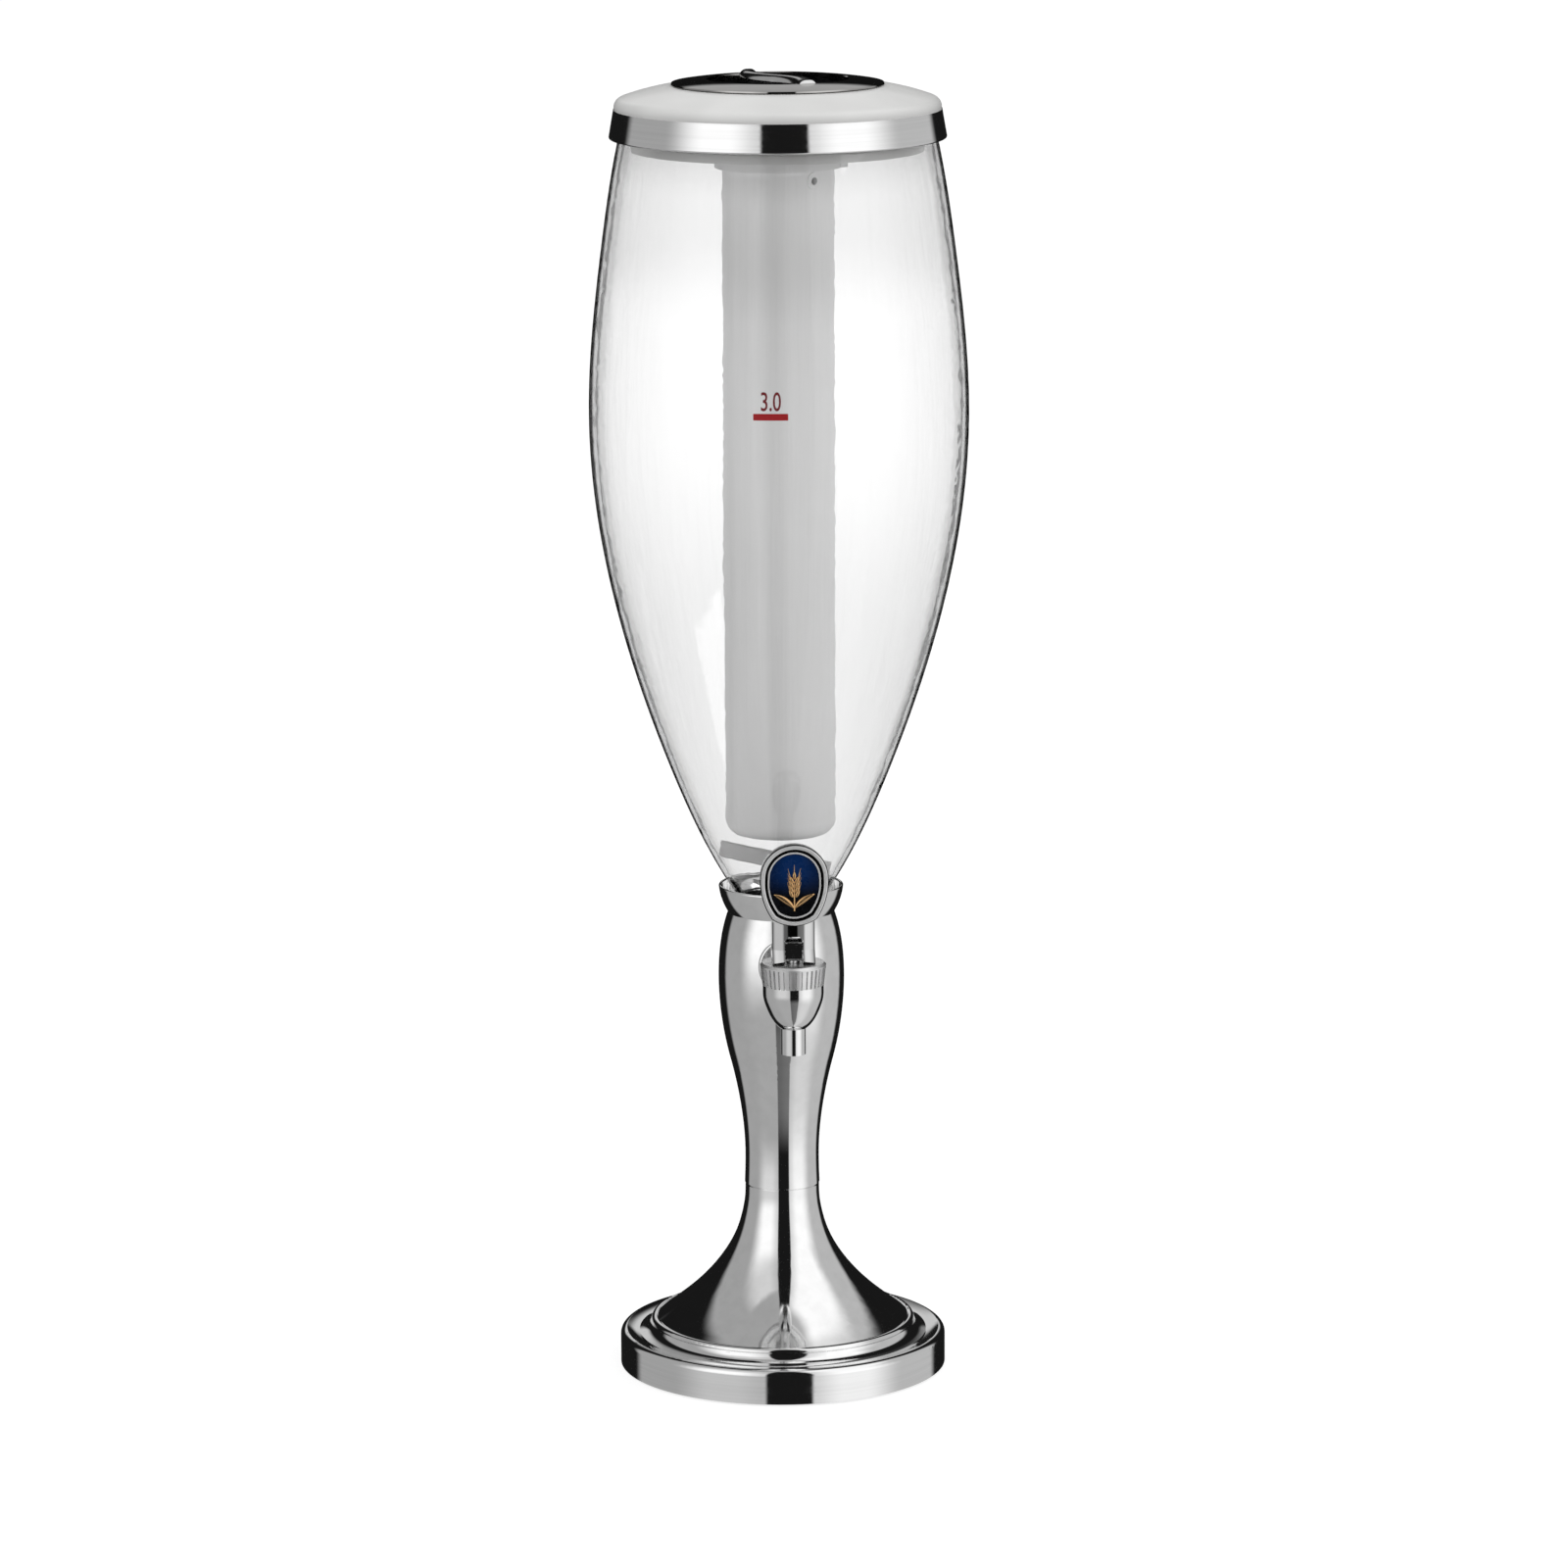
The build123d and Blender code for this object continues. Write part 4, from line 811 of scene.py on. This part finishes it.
def join(pieces: list[bpy.types.Object]) -> bpy.types.Object:
    """Join pieces into one.

    Args:
        pieces: the pieces to join.

    Returns:
        The first of them, which is then the active and only selected object.
    """
    start_clean()
    for piece in pieces:
        piece.select_set(True)
    bpy.context.view_layer.objects.active = pieces[0]
    bpy.ops.object.join()
    return pieces[0]


def apply_modifier(piece: bpy.types.Object, kind: str, **settings: object) -> None:
    """Add a modifier with settings and apply it.

    Args:
        piece: the object, made active.
        kind: Blender's name of the modifier's type.
        settings: the modifier's properties.
    """
    bpy.context.view_layer.objects.active = piece
    made = piece.modifiers.new(kind.title(), kind)
    for name, value in settings.items():
        setattr(made, name, value)
    bpy.ops.object.modifier_apply(modifier=made.name)


# ---- Pieces finer than CAD ----
@dataclass
class LevelMark:
    """Printed fill mark on the front of the bulb: plain digits over a bar."""

    height: float = 0.4035
    bar_width: float = 0.0137
    bar_height: float = 0.0026
    digit_height: float = 0.0073
    digit_squeeze: float = 0.66
    gap: float = 0.0012
    azimuth: float = -7.1
    thick: float = 0.00004
    bold: float = 0.00008
    text: str = "3.0"
    digit_share: float = 0.70
    weld: float = 0.000002
    bulb_radius: float = 0.0763
    outside: float = 0.2

    def wrap(self, piece: bpy.types.Object) -> None:
        """Lay a flat piece, drawn in X and Z, on the bulb's outside.

        Args:
            piece: the flat mesh, whose Y is how far it stands off.
        """
        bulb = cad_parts["bulb"]
        for vertex in piece.data.vertices:
            angle = math.radians(self.azimuth) + vertex.co.x / self.bulb_radius
            out = Vector((math.sin(angle), -math.cos(angle), 0.0))
            level = Vector((0.0, 0.0, vertex.co.z))
            hit, place, _, _ = bulb.ray_cast(out * self.outside + level, -out)
            radius = Vector((place.x, place.y, 0.0)).length if hit else self.bulb_radius
            vertex.co = out * (radius + self.thick - vertex.co.y) + level

    def bar(self) -> None:
        """Model the bar: a thin plate, cut fine enough to follow the bulb."""
        start_clean()
        bpy.ops.mesh.primitive_cube_add(size=1, location=(0, 0, self.height))
        piece = edit_all()
        bpy.ops.transform.resize(value=(self.bar_width, self.thick, self.bar_height))
        bpy.ops.mesh.subdivide(number_cuts=15)
        bpy.ops.object.mode_set(mode="OBJECT")
        bpy.ops.object.transform_apply(location=True, rotation=True, scale=True)
        self.wrap(piece)
        finish_piece("level_bar", Body.STAND, INK_RED)

    def digits(self) -> None:
        """Model the digits from text, squeezed as such prints are."""
        start_clean()
        foot = self.height + self.bar_height / 2 + self.gap
        bpy.ops.object.text_add(location=(0, 0, foot), rotation=(math.pi / 2, 0, 0))
        text = bpy.context.object
        text.data.body = self.text
        text.data.align_x = "CENTER"
        text.data.size = self.digit_height / self.digit_share
        text.data.extrude = self.thick / 2
        text.data.offset = self.bold
        text.data.resolution_u = 6
        text.scale = (self.digit_squeeze, 1, 1)
        bpy.ops.object.convert(target="MESH")
        bpy.ops.object.transform_apply(location=True, rotation=True, scale=True)
        piece = edit_all()
        bpy.ops.mesh.remove_doubles(threshold=self.weld)
        bpy.ops.mesh.quads_convert_to_tris()
        bpy.ops.object.mode_set(mode="OBJECT")
        self.wrap(piece)
        finish_piece("level_digits", Body.STAND, INK_DARK)

    def build(self) -> None:
        """Build both parts of the mark."""
        self.bar()
        self.digits()


@dataclass
class BarleyEar:
    """Gilt relief on the handle's enamel: one upright ear of barley with two leaves."""

    ground: float = -0.0653
    foot: float = 0.2052
    rows: int = 4
    pitch: float = 0.0019
    first_row: float = 0.0048
    reach: float = 0.00125
    narrowing: float = 0.00006
    grain_length: float = 0.0030
    grain_width: float = 0.00145
    grain_depth: float = 0.0011
    lean: float = 27.0
    awn_foot: float = 0.00014
    awn_tip: float = 0.00003
    awn_length: float = 0.0036
    leaf_lean: float = 40.0
    leaf_length: float = 0.0094
    leaf_width: float = 0.0024
    leaf_bow: float = 0.0024
    leaf_fold: float = 0.00035
    leaf_thick: float = 0.00025
    stalk_foot: float = 0.00036
    stalk_tip: float = 0.0002
    stalk_length: float = 0.012
    stalk_below: float = 0.0012

    def place(self, x: float, z: float, angle: float, depth: float = 0.0, mirror: bool = False) -> Matrix:
        """Transform of a part on the enamel.

        Args:
            x: distance from the ear's middle.
            z: height above the ear's foot.
            angle: lean in degrees, outwards to +X.
            depth: how far in front of the ground.
            mirror: lay it on the other side.

        Returns:
            The transform.
        """
        turn = Matrix.Rotation(math.radians(angle), 4, "Y")
        made = Matrix.Translation((x, self.ground - depth, self.foot + z)) @ turn
        return Matrix.Scale(-1, 4, (1, 0, 0)) @ made if mirror else made

    def grain(self) -> bpy.types.Object:
        """Model one grain: a sphere drawn out to a point, with a crease down its front."""
        start_clean()
        bpy.ops.mesh.primitive_uv_sphere_add(segments=12, ring_count=8, radius=0.5)
        piece = bpy.context.object
        bpy.ops.object.mode_set(mode="EDIT")
        select_points(piece, lambda point: point.z > 0.3)
        bpy.ops.transform.resize(value=(0.55, 0.55, 1.0), center_override=(0, 0, 0))
        bpy.ops.transform.translate(value=(0, 0, 0.12))
        select_points(piece, lambda point: abs(point.x) < 0.08 and point.y < -0.2 and abs(point.z) < 0.45)
        bpy.ops.transform.translate(value=(0, 0.10, 0))
        bpy.ops.mesh.select_all(action="SELECT")
        size = (self.grain_width, self.grain_depth, self.grain_length)
        bpy.ops.transform.resize(value=size, center_override=(0, 0, 0))
        bpy.ops.object.mode_set(mode="OBJECT")
        bpy.ops.object.shade_smooth()
        return piece

    def awn(self) -> bpy.types.Object:
        """Model one awn: a long thin bristle."""
        start_clean()
        bpy.ops.mesh.primitive_cone_add(
            vertices=6, radius1=self.awn_foot, radius2=self.awn_tip, depth=self.awn_length
        )
        piece = edit_all()
        bpy.ops.transform.translate(value=(0, 0, self.awn_length / 2))
        bpy.ops.object.mode_set(mode="OBJECT")
        return piece

    def leaf(self) -> bpy.types.Object:
        """Model one leaf: a strip drawn to a point at both ends and folded along its middle."""
        start_clean()
        bpy.ops.mesh.primitive_grid_add(x_subdivisions=4, y_subdivisions=12, size=1)
        piece = bpy.context.object
        bpy.ops.transform.rotate(value=math.pi / 2, orient_axis="X", center_override=(0, 0, 0))
        bpy.ops.object.transform_apply(location=True, rotation=True, scale=True)
        for vertex in piece.data.vertices:
            rise = vertex.co.z + 0.5
            swell = math.sin(math.pi * min(1.0, rise * 0.97 + 0.02)) ** 0.8
            side = vertex.co.x * self.leaf_width * swell
            bow = self.leaf_bow * rise * rise
            fold = self.leaf_fold * (1 - abs(vertex.co.x) * 2) * swell
            vertex.co = (side + bow, -0.0001 - fold, rise * self.leaf_length)
        apply_modifier(piece, "SOLIDIFY", thickness=self.leaf_thick, offset=0.0)
        edit_all()
        bpy.ops.mesh.normals_make_consistent(inside=False)
        bpy.ops.object.mode_set(mode="OBJECT")
        bpy.ops.object.shade_smooth()
        return piece

    def stalk(self) -> bpy.types.Object:
        """Model the stalk: a tapered rod with a bevelled foot."""
        start_clean()
        bpy.ops.mesh.primitive_cone_add(
            vertices=10, radius1=self.stalk_foot, radius2=self.stalk_tip, depth=self.stalk_length
        )
        piece = edit_all()
        bpy.ops.transform.translate(value=(0, 0, self.stalk_length / 2 - self.stalk_below))
        select_faces(piece, lambda middle, normal: normal.z < -0.9)
        bpy.ops.mesh.bevel(offset=0.0001, segments=2)
        bpy.ops.object.mode_set(mode="OBJECT")
        return piece

    def build(self) -> None:
        """Set out the parts and join them into one relief."""
        sides, tips = [], []
        for row in range(self.rows):
            z = self.first_row + row * self.pitch
            reach = self.reach - self.narrowing * row
            for mirror in (False, True):
                sides.append(self.place(reach, z + 0.0009, self.lean, 0.0002, mirror))
                tips.append(self.place(reach + 0.0006, z + 0.0022, self.lean * 0.55, 0.0001, mirror))
        top = self.first_row + self.rows * self.pitch
        sides.append(self.place(0, top + 0.0007, 0, 0.0003))
        tips.append(self.place(0, top + 0.0016, 0, 0.0001))
        parts = copies(self.grain(), sides) + copies(self.awn(), tips)
        leaves = [self.place(0.0002, 0.0, self.leaf_lean, 0.0, mirror) for mirror in (False, True)]
        parts += copies(self.leaf(), leaves) + copies(self.stalk(), [self.place(0, 0, 0)])
        join(parts)
        finish_piece("badge_relief", Body.HANDLE, GOLD)


@dataclass
class CoverScrews:
    """Countersunk screws under the base, with a cross recess in each head."""

    circle: float = 0.0596
    low: float = 0.001
    length: float = 0.0066
    shank: float = 0.0016
    head: float = 0.0032
    head_height: float = 0.0013
    end_bevel: float = 0.0003
    recess_size: Triple = (0.0036, 0.0007, 0.0022)
    recess_taper: Triple = (0.55, 0.6, 1.0)
    recess_lift: float = 0.0001
    count: int = 4

    def recess(self) -> bpy.types.Object:
        """Model the cross that is cut into the head: two wedges across each other."""
        start_clean()
        bpy.ops.mesh.primitive_cube_add(size=1)
        piece = edit_all()
        bpy.ops.transform.resize(value=self.recess_size, center_override=(0, 0, 0))
        select_points(piece, lambda point: point.z > 0)
        bpy.ops.transform.resize(value=self.recess_taper, center_override=(0, 0, 0))
        bpy.ops.object.mode_set(mode="OBJECT")
        quarter = Matrix.Rotation(math.pi / 2, 4, "Z")
        return join(copies(piece, [Matrix.Identity(4), quarter]))

    def build(self) -> None:
        """Model one screw, cut its recess and copy it round."""
        cutter = self.recess()
        start_clean()
        bpy.ops.mesh.primitive_cone_add(
            vertices=40, radius1=self.head, radius2=self.shank, depth=self.head_height
        )
        piece = edit_all()
        bpy.ops.transform.translate(value=(0, 0, self.head_height / 2))
        select_faces(piece, lambda middle, normal: normal.z > 0.9)
        rise = (0, 0, self.length - self.head_height)
        bpy.ops.mesh.extrude_region_move(TRANSFORM_OT_translate={"value": rise})
        bpy.ops.mesh.bevel(offset=self.end_bevel, segments=2)
        bpy.ops.object.mode_set(mode="OBJECT")
        cutter.data.transform(Matrix.Translation((0, 0, self.recess_lift)))
        apply_modifier(piece, "BOOLEAN", object=cutter, operation="DIFFERENCE", use_self=True)
        bpy.data.objects.remove(cutter, do_unlink=True)
        spots = []
        for number in range(self.count):
            turn = Matrix.Rotation(2 * math.pi * number / self.count, 4, "Z")
            spots.append(turn @ Matrix.Translation((self.circle, 0, self.low)))
        made = join(copies(piece, spots))
        bpy.ops.object.shade_smooth_by_angle(angle=math.radians(30))
        finish_piece("cover_screws", Body.STAND, STEEL)
        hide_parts("base_screws")


# ---- Sub-assemblies carried over from CAD ----
@dataclass
class Foot:
    """Round base, bell and what is under them."""

    screws: CoverScrews = field(default_factory=CoverScrews)

    def build(self) -> None:
        """Dress the base and add its screws."""
        CHROME_BAND.dress("base_ring")
        CHROME_TURNED.dress("base_bell")
        RUBBER.dress("rubber_feet")
        COVER_BLACK.dress("base_cover")
        CAST_IRON.dress("ballast_weight")
        STEEL.dress("tie_washers", "tie_nuts")
        STEEL_THREAD.dress("tie_rod")
        self.screws.build()


@dataclass
class Column:
    """Column with its collar and seals."""

    def build(self) -> None:
        """Dress the column."""
        CHROME_TURNED.dress("column", "collar_cup")
        RUBBER.dress("neck_gasket", "saddle_washer", "shank_bush")
        SILICONE.dress("inner_washer")


@dataclass
class Bulb:
    """Clear bulb with its printed mark."""

    mark: LevelMark = field(default_factory=LevelMark)

    def build(self) -> None:
        """Dress the bulb and print its mark."""
        BULB_CLEAR.dress("bulb")
        STRIP_FROST.dress("throat_strip")
        self.mark.build()


@dataclass
class Lid:
    """Lid, middle cap and ice tube."""

    def build(self) -> None:
        """Dress the lid's pieces."""
        CHROME_BAND.dress("lid_band")
        LID_WHITE.dress("lid_dome")
        SILICONE.dress("lid_gasket", "cap_seal")
        SMOKED.dress("cap_ring")
        WELL_BLACK.dress("cap_body")
        CHROME_GRIP.dress("grip_bar")
        TUBE_FROST.dress("ice_tube")


@dataclass
class Tap:
    """Tap with its lever handle and medallion."""

    relief: BarleyEar = field(default_factory=BarleyEar)

    def build(self) -> None:
        """Dress the tap and add the medallion's relief."""
        CHROME_CAST.dress("tap_body", "valve_stem")
        CHROME_TRIM.dress("badge_bezel")
        CHROME_SATIN.dress("bonnet_nut")
        HANDLE_CHROME.dress("fork_handle")
        COVER_BLACK.dress("tap_nut")
        SILICONE.dress("bonnet_seal", "valve_plug")
        STEEL.dress("handle_pin")
        ENAMEL.dress("badge_inlay")
        self.relief.build()


# ---- Studio ----
@dataclass
class Studio:
    """Camera, pale floor and plain soft light.

    Attributes:
        azimuth: angle of the camera round the tower, in degrees from the front.
        roll: turn of the picture, in degrees.
        shift: sideways shift of the picture, as a share of its width.
        floor_drop: how far the floor lies below the tower's feet.
        floor_greys: darkest and palest grey of the floor.
        floor_glow: light that the floor adds to itself where it is seen, to look white.
        plain: brightness of the light from all round.
        dark: brightness between the soft boxes.
        lamp_aim: height that the lamps face.
        lamps: each lamp's name, place, width and watts.
    """

    distance: float = 2.6183
    eye_height: float = 0.7693
    aim_height: float = 0.2424
    azimuth: float = -4.65
    roll: float = -0.243
    lens: float = 151.07
    shift: float = 0.0022
    floor_size: float = 60.0
    floor_drop: float = 0.0002
    floor_greys: tuple[float, float] = (0.34, 0.35)
    floor_glow: float = 0.75
    plain: float = 0.62
    dark: float = 0.01
    lamp_aim: float = 0.3
    lamps: tuple[tuple[str, Triple, float, float], ...] = (
        ("lamp_left", (-1.6, -1.6, 1.9), 1.2, 6.0),
        ("lamp_right", (1.8, -1.2, 1.6), 1.2, 9.0),
    )

    def camera(self) -> None:
        """Set the camera at its distance, height and lens."""
        angle = math.radians(self.azimuth)
        away = self.distance
        place = Vector((math.sin(angle) * away, -math.cos(angle) * away, self.eye_height))
        data = bpy.data.cameras.new("camera")
        data.lens = self.lens
        data.sensor_width = 36.0
        data.shift_x = self.shift
        data.clip_start, data.clip_end = 0.05, 200.0
        camera = bpy.data.objects.new("camera", data)
        bpy.context.collection.objects.link(camera)
        look = (Vector((0, 0, self.aim_height)) - place).to_track_quat("-Z", "Y")
        camera.rotation_mode = "QUATERNION"
        camera.rotation_quaternion = look @ Quaternion((0, 0, 1), math.radians(self.roll))
        camera.location = place
        bpy.context.scene.camera = camera

    def floor(self) -> None:
        """Lay a white floor that keeps the tower's shadow."""
        start_clean()
        bpy.ops.mesh.primitive_plane_add(size=self.floor_size, location=(0, 0, -self.floor_drop))
        bpy.ops.object.transform_apply(location=True, rotation=True, scale=True)
        floor = bpy.context.object
        floor.name = "floor"
        material = bpy.data.materials.new("floor_white")
        material.use_nodes = True
        graph = Graph(material.node_tree)
        speck = graph.noise(40.0, 2.0)
        matt = graph.node("ShaderNodeBsdfDiffuse")
        low, high = self.floor_greys
        graph.feed(matt.inputs[0], graph.blend(speck, grey(low), grey(high)))
        path = graph.node("ShaderNodeLightPath")
        seen = graph.math("MAXIMUM", path.outputs["Is Camera Ray"], path.outputs["Is Transmission Ray"])
        glow = graph.node("ShaderNodeEmission")
        graph.feed(glow.inputs["Strength"], graph.times(seen, self.floor_glow))
        both = graph.node("ShaderNodeAddShader")
        graph.feed(both.inputs[0], matt.outputs[0])
        graph.feed(both.inputs[1], glow.outputs[0])
        graph.end(both.outputs[0])
        floor.data.materials.append(material)
        floor.visible_glossy = False

    def boxes(self, graph: Graph, azimuth: Socket, rise: Socket) -> Socket:
        """Two tall soft boxes, one at each side, with a dark gap between them in front.

        Args:
            graph: the world's graph.
            azimuth: angle round the tower from the front, in degrees.
            rise: angle above the horizon, in degrees.

        Returns:
            Their brightness's socket.
        """
        away = graph.math("ABSOLUTE", azimuth)
        base = graph.span(azimuth, -40.0, 40.0, 0.38, 0.52)
        height = graph.span(azimuth, -30.0, 30.0, 0.76, 0.62)
        widen = graph.span(azimuth, -10.0, 10.0, -8.0, -40.0)
        outer = graph.math("ADD", away, graph.span(rise, 30.0, 60.0, 0.0, widen))
        peak = graph.times(graph.span(away, 14.0, 40.0, 0.4, 1.0), graph.span(outer, 56.0, 90.0, 1.0, 0.0))
        left = graph.span(rise, -26.0, 4.0, 0.04, 1.0)
        right = graph.span(rise, -38.0, -2.0, 0.3, 1.0)
        below = graph.span(azimuth, -10.0, 10.0, left, right)
        above = graph.span(rise, 30.0, 55.0, 1.0, graph.span(azimuth, -10.0, 10.0, 0.42, 0.95))
        top = graph.math("SUBTRACT", rise, graph.span(azimuth, -10.0, 10.0, 0.0, 12.0))
        level = graph.times(below, above, graph.span(top, 66.0, 70.0, 1.0, 0.0))
        shine = graph.times(peak, height, level)
        front = graph.span(away, 15.0, 18.0, graph.span(rise, -34.0, -17.0, 0.3, 0.0), 1.0)
        back = graph.span(away, 124.0, 134.0, 1.0, 0.0)
        ends = graph.times(front, back, graph.span(rise, 74.0, 82.0, 1.0, 0.0))
        return graph.times(graph.math("ADD", base, shine), ends)

    def surroundings(self, graph: Graph) -> Socket:
        """Brightness that shiny pieces mirror: soft boxes, a ceiling and a pale backdrop behind.

        Args:
            graph: the world's graph.

        Returns:
            The brightness's socket.
        """
        x, y, z = graph.parts(graph.node("ShaderNodeTexCoord").outputs["Generated"])
        azimuth = graph.math("DEGREES", graph.math("ARCTAN2", x, graph.times(y, -1.0)))
        rise = graph.math("DEGREES", graph.math("ARCSINE", z))
        ceiling = graph.times(graph.span(rise, 74.0, 82.0), graph.span(x, -0.15, 0.15, 0.38, 0.45))
        away = graph.math("ABSOLUTE", azimuth)
        behind = graph.times(graph.span(away, 160.0, 172.0), graph.span(rise, 12.0, 15.5))
        behind = graph.times(behind, graph.span(rise, 20.0, 32.0, 0.62, 0.3))
        behind = graph.times(behind, graph.span(rise, 50.0, 60.0, 1.0, 0.0))
        boxes = self.boxes(graph, azimuth, rise)
        total = graph.math("ADD", boxes, graph.math("MAXIMUM", ceiling, behind))
        return graph.math("ADD", total, self.dark)

    def world(self) -> None:
        """Light the tower plainly from all round; shiny pieces mirror the soft boxes."""
        world = bpy.data.worlds.new("studio")
        bpy.context.scene.world = world
        world.use_nodes = True
        graph = Graph(world.node_tree)
        path = graph.node("ShaderNodeLightPath")
        mirrored = self.surroundings(graph)
        z = graph.parts(graph.node("ShaderNodeTexCoord").outputs["Generated"])[2]
        soft = graph.span(z, -0.2, 1.0, self.plain * 0.65, self.plain * 1.6)
        seen = graph.math("MAXIMUM", path.outputs["Is Camera Ray"], path.outputs["Is Transmission Ray"])
        shiny = graph.times(path.outputs["Is Glossy Ray"], graph.math("SUBTRACT", 1.0, seen))
        dull = graph.math("SUBTRACT", 1.0, graph.math("MAXIMUM", seen, shiny))
        strength = graph.math("ADD", graph.times(shiny, mirrored), seen)
        strength = graph.math("ADD", strength, graph.times(dull, soft))
        glow = graph.node("ShaderNodeBackground")
        glow.inputs["Color"].default_value = grey(1.0)
        graph.feed(glow.inputs["Strength"], strength)
        graph.end(glow.outputs[0], "ShaderNodeOutputWorld")
        world.cycles.sampling_method = "NONE"

    def lamp(self, name: str, place: Triple, size: float, power: float) -> None:
        """Add one soft lamp that faces the bulb and isn't mirrored.

        Args:
            name: the lamp's name.
            place: where it stands.
            size: width of its square.
            power: its watts.
        """
        data = bpy.data.lights.new(name, "AREA")
        data.size = size
        data.energy = power
        lamp = bpy.data.objects.new(name, data)
        lamp.location = place
        lamp.rotation_mode = "QUATERNION"
        aim = Vector((0, 0, self.lamp_aim)) - Vector(place)
        lamp.rotation_quaternion = aim.to_track_quat("-Z", "Y")
        lamp.visible_glossy = False
        bpy.context.collection.objects.link(lamp)

    def build(self) -> None:
        """Build the whole studio."""
        self.camera()
        self.floor()
        self.world()
        for name, place, size, power in self.lamps:
            self.lamp(name, place, size, power)
        bpy.context.scene.view_settings.view_transform = "Standard"


def main() -> None:
    """Build the studio and each sub-assembly in order."""
    logging.basicConfig(level=logging.INFO, format="%(name)s %(message)s")
    Studio().build()
    for assembly in (Foot(), Column(), Bulb(), Lid(), Tap()):
        LOG.info("building %s", type(assembly).__name__)
        assembly.build()


if __name__ == "__main__":
    main()
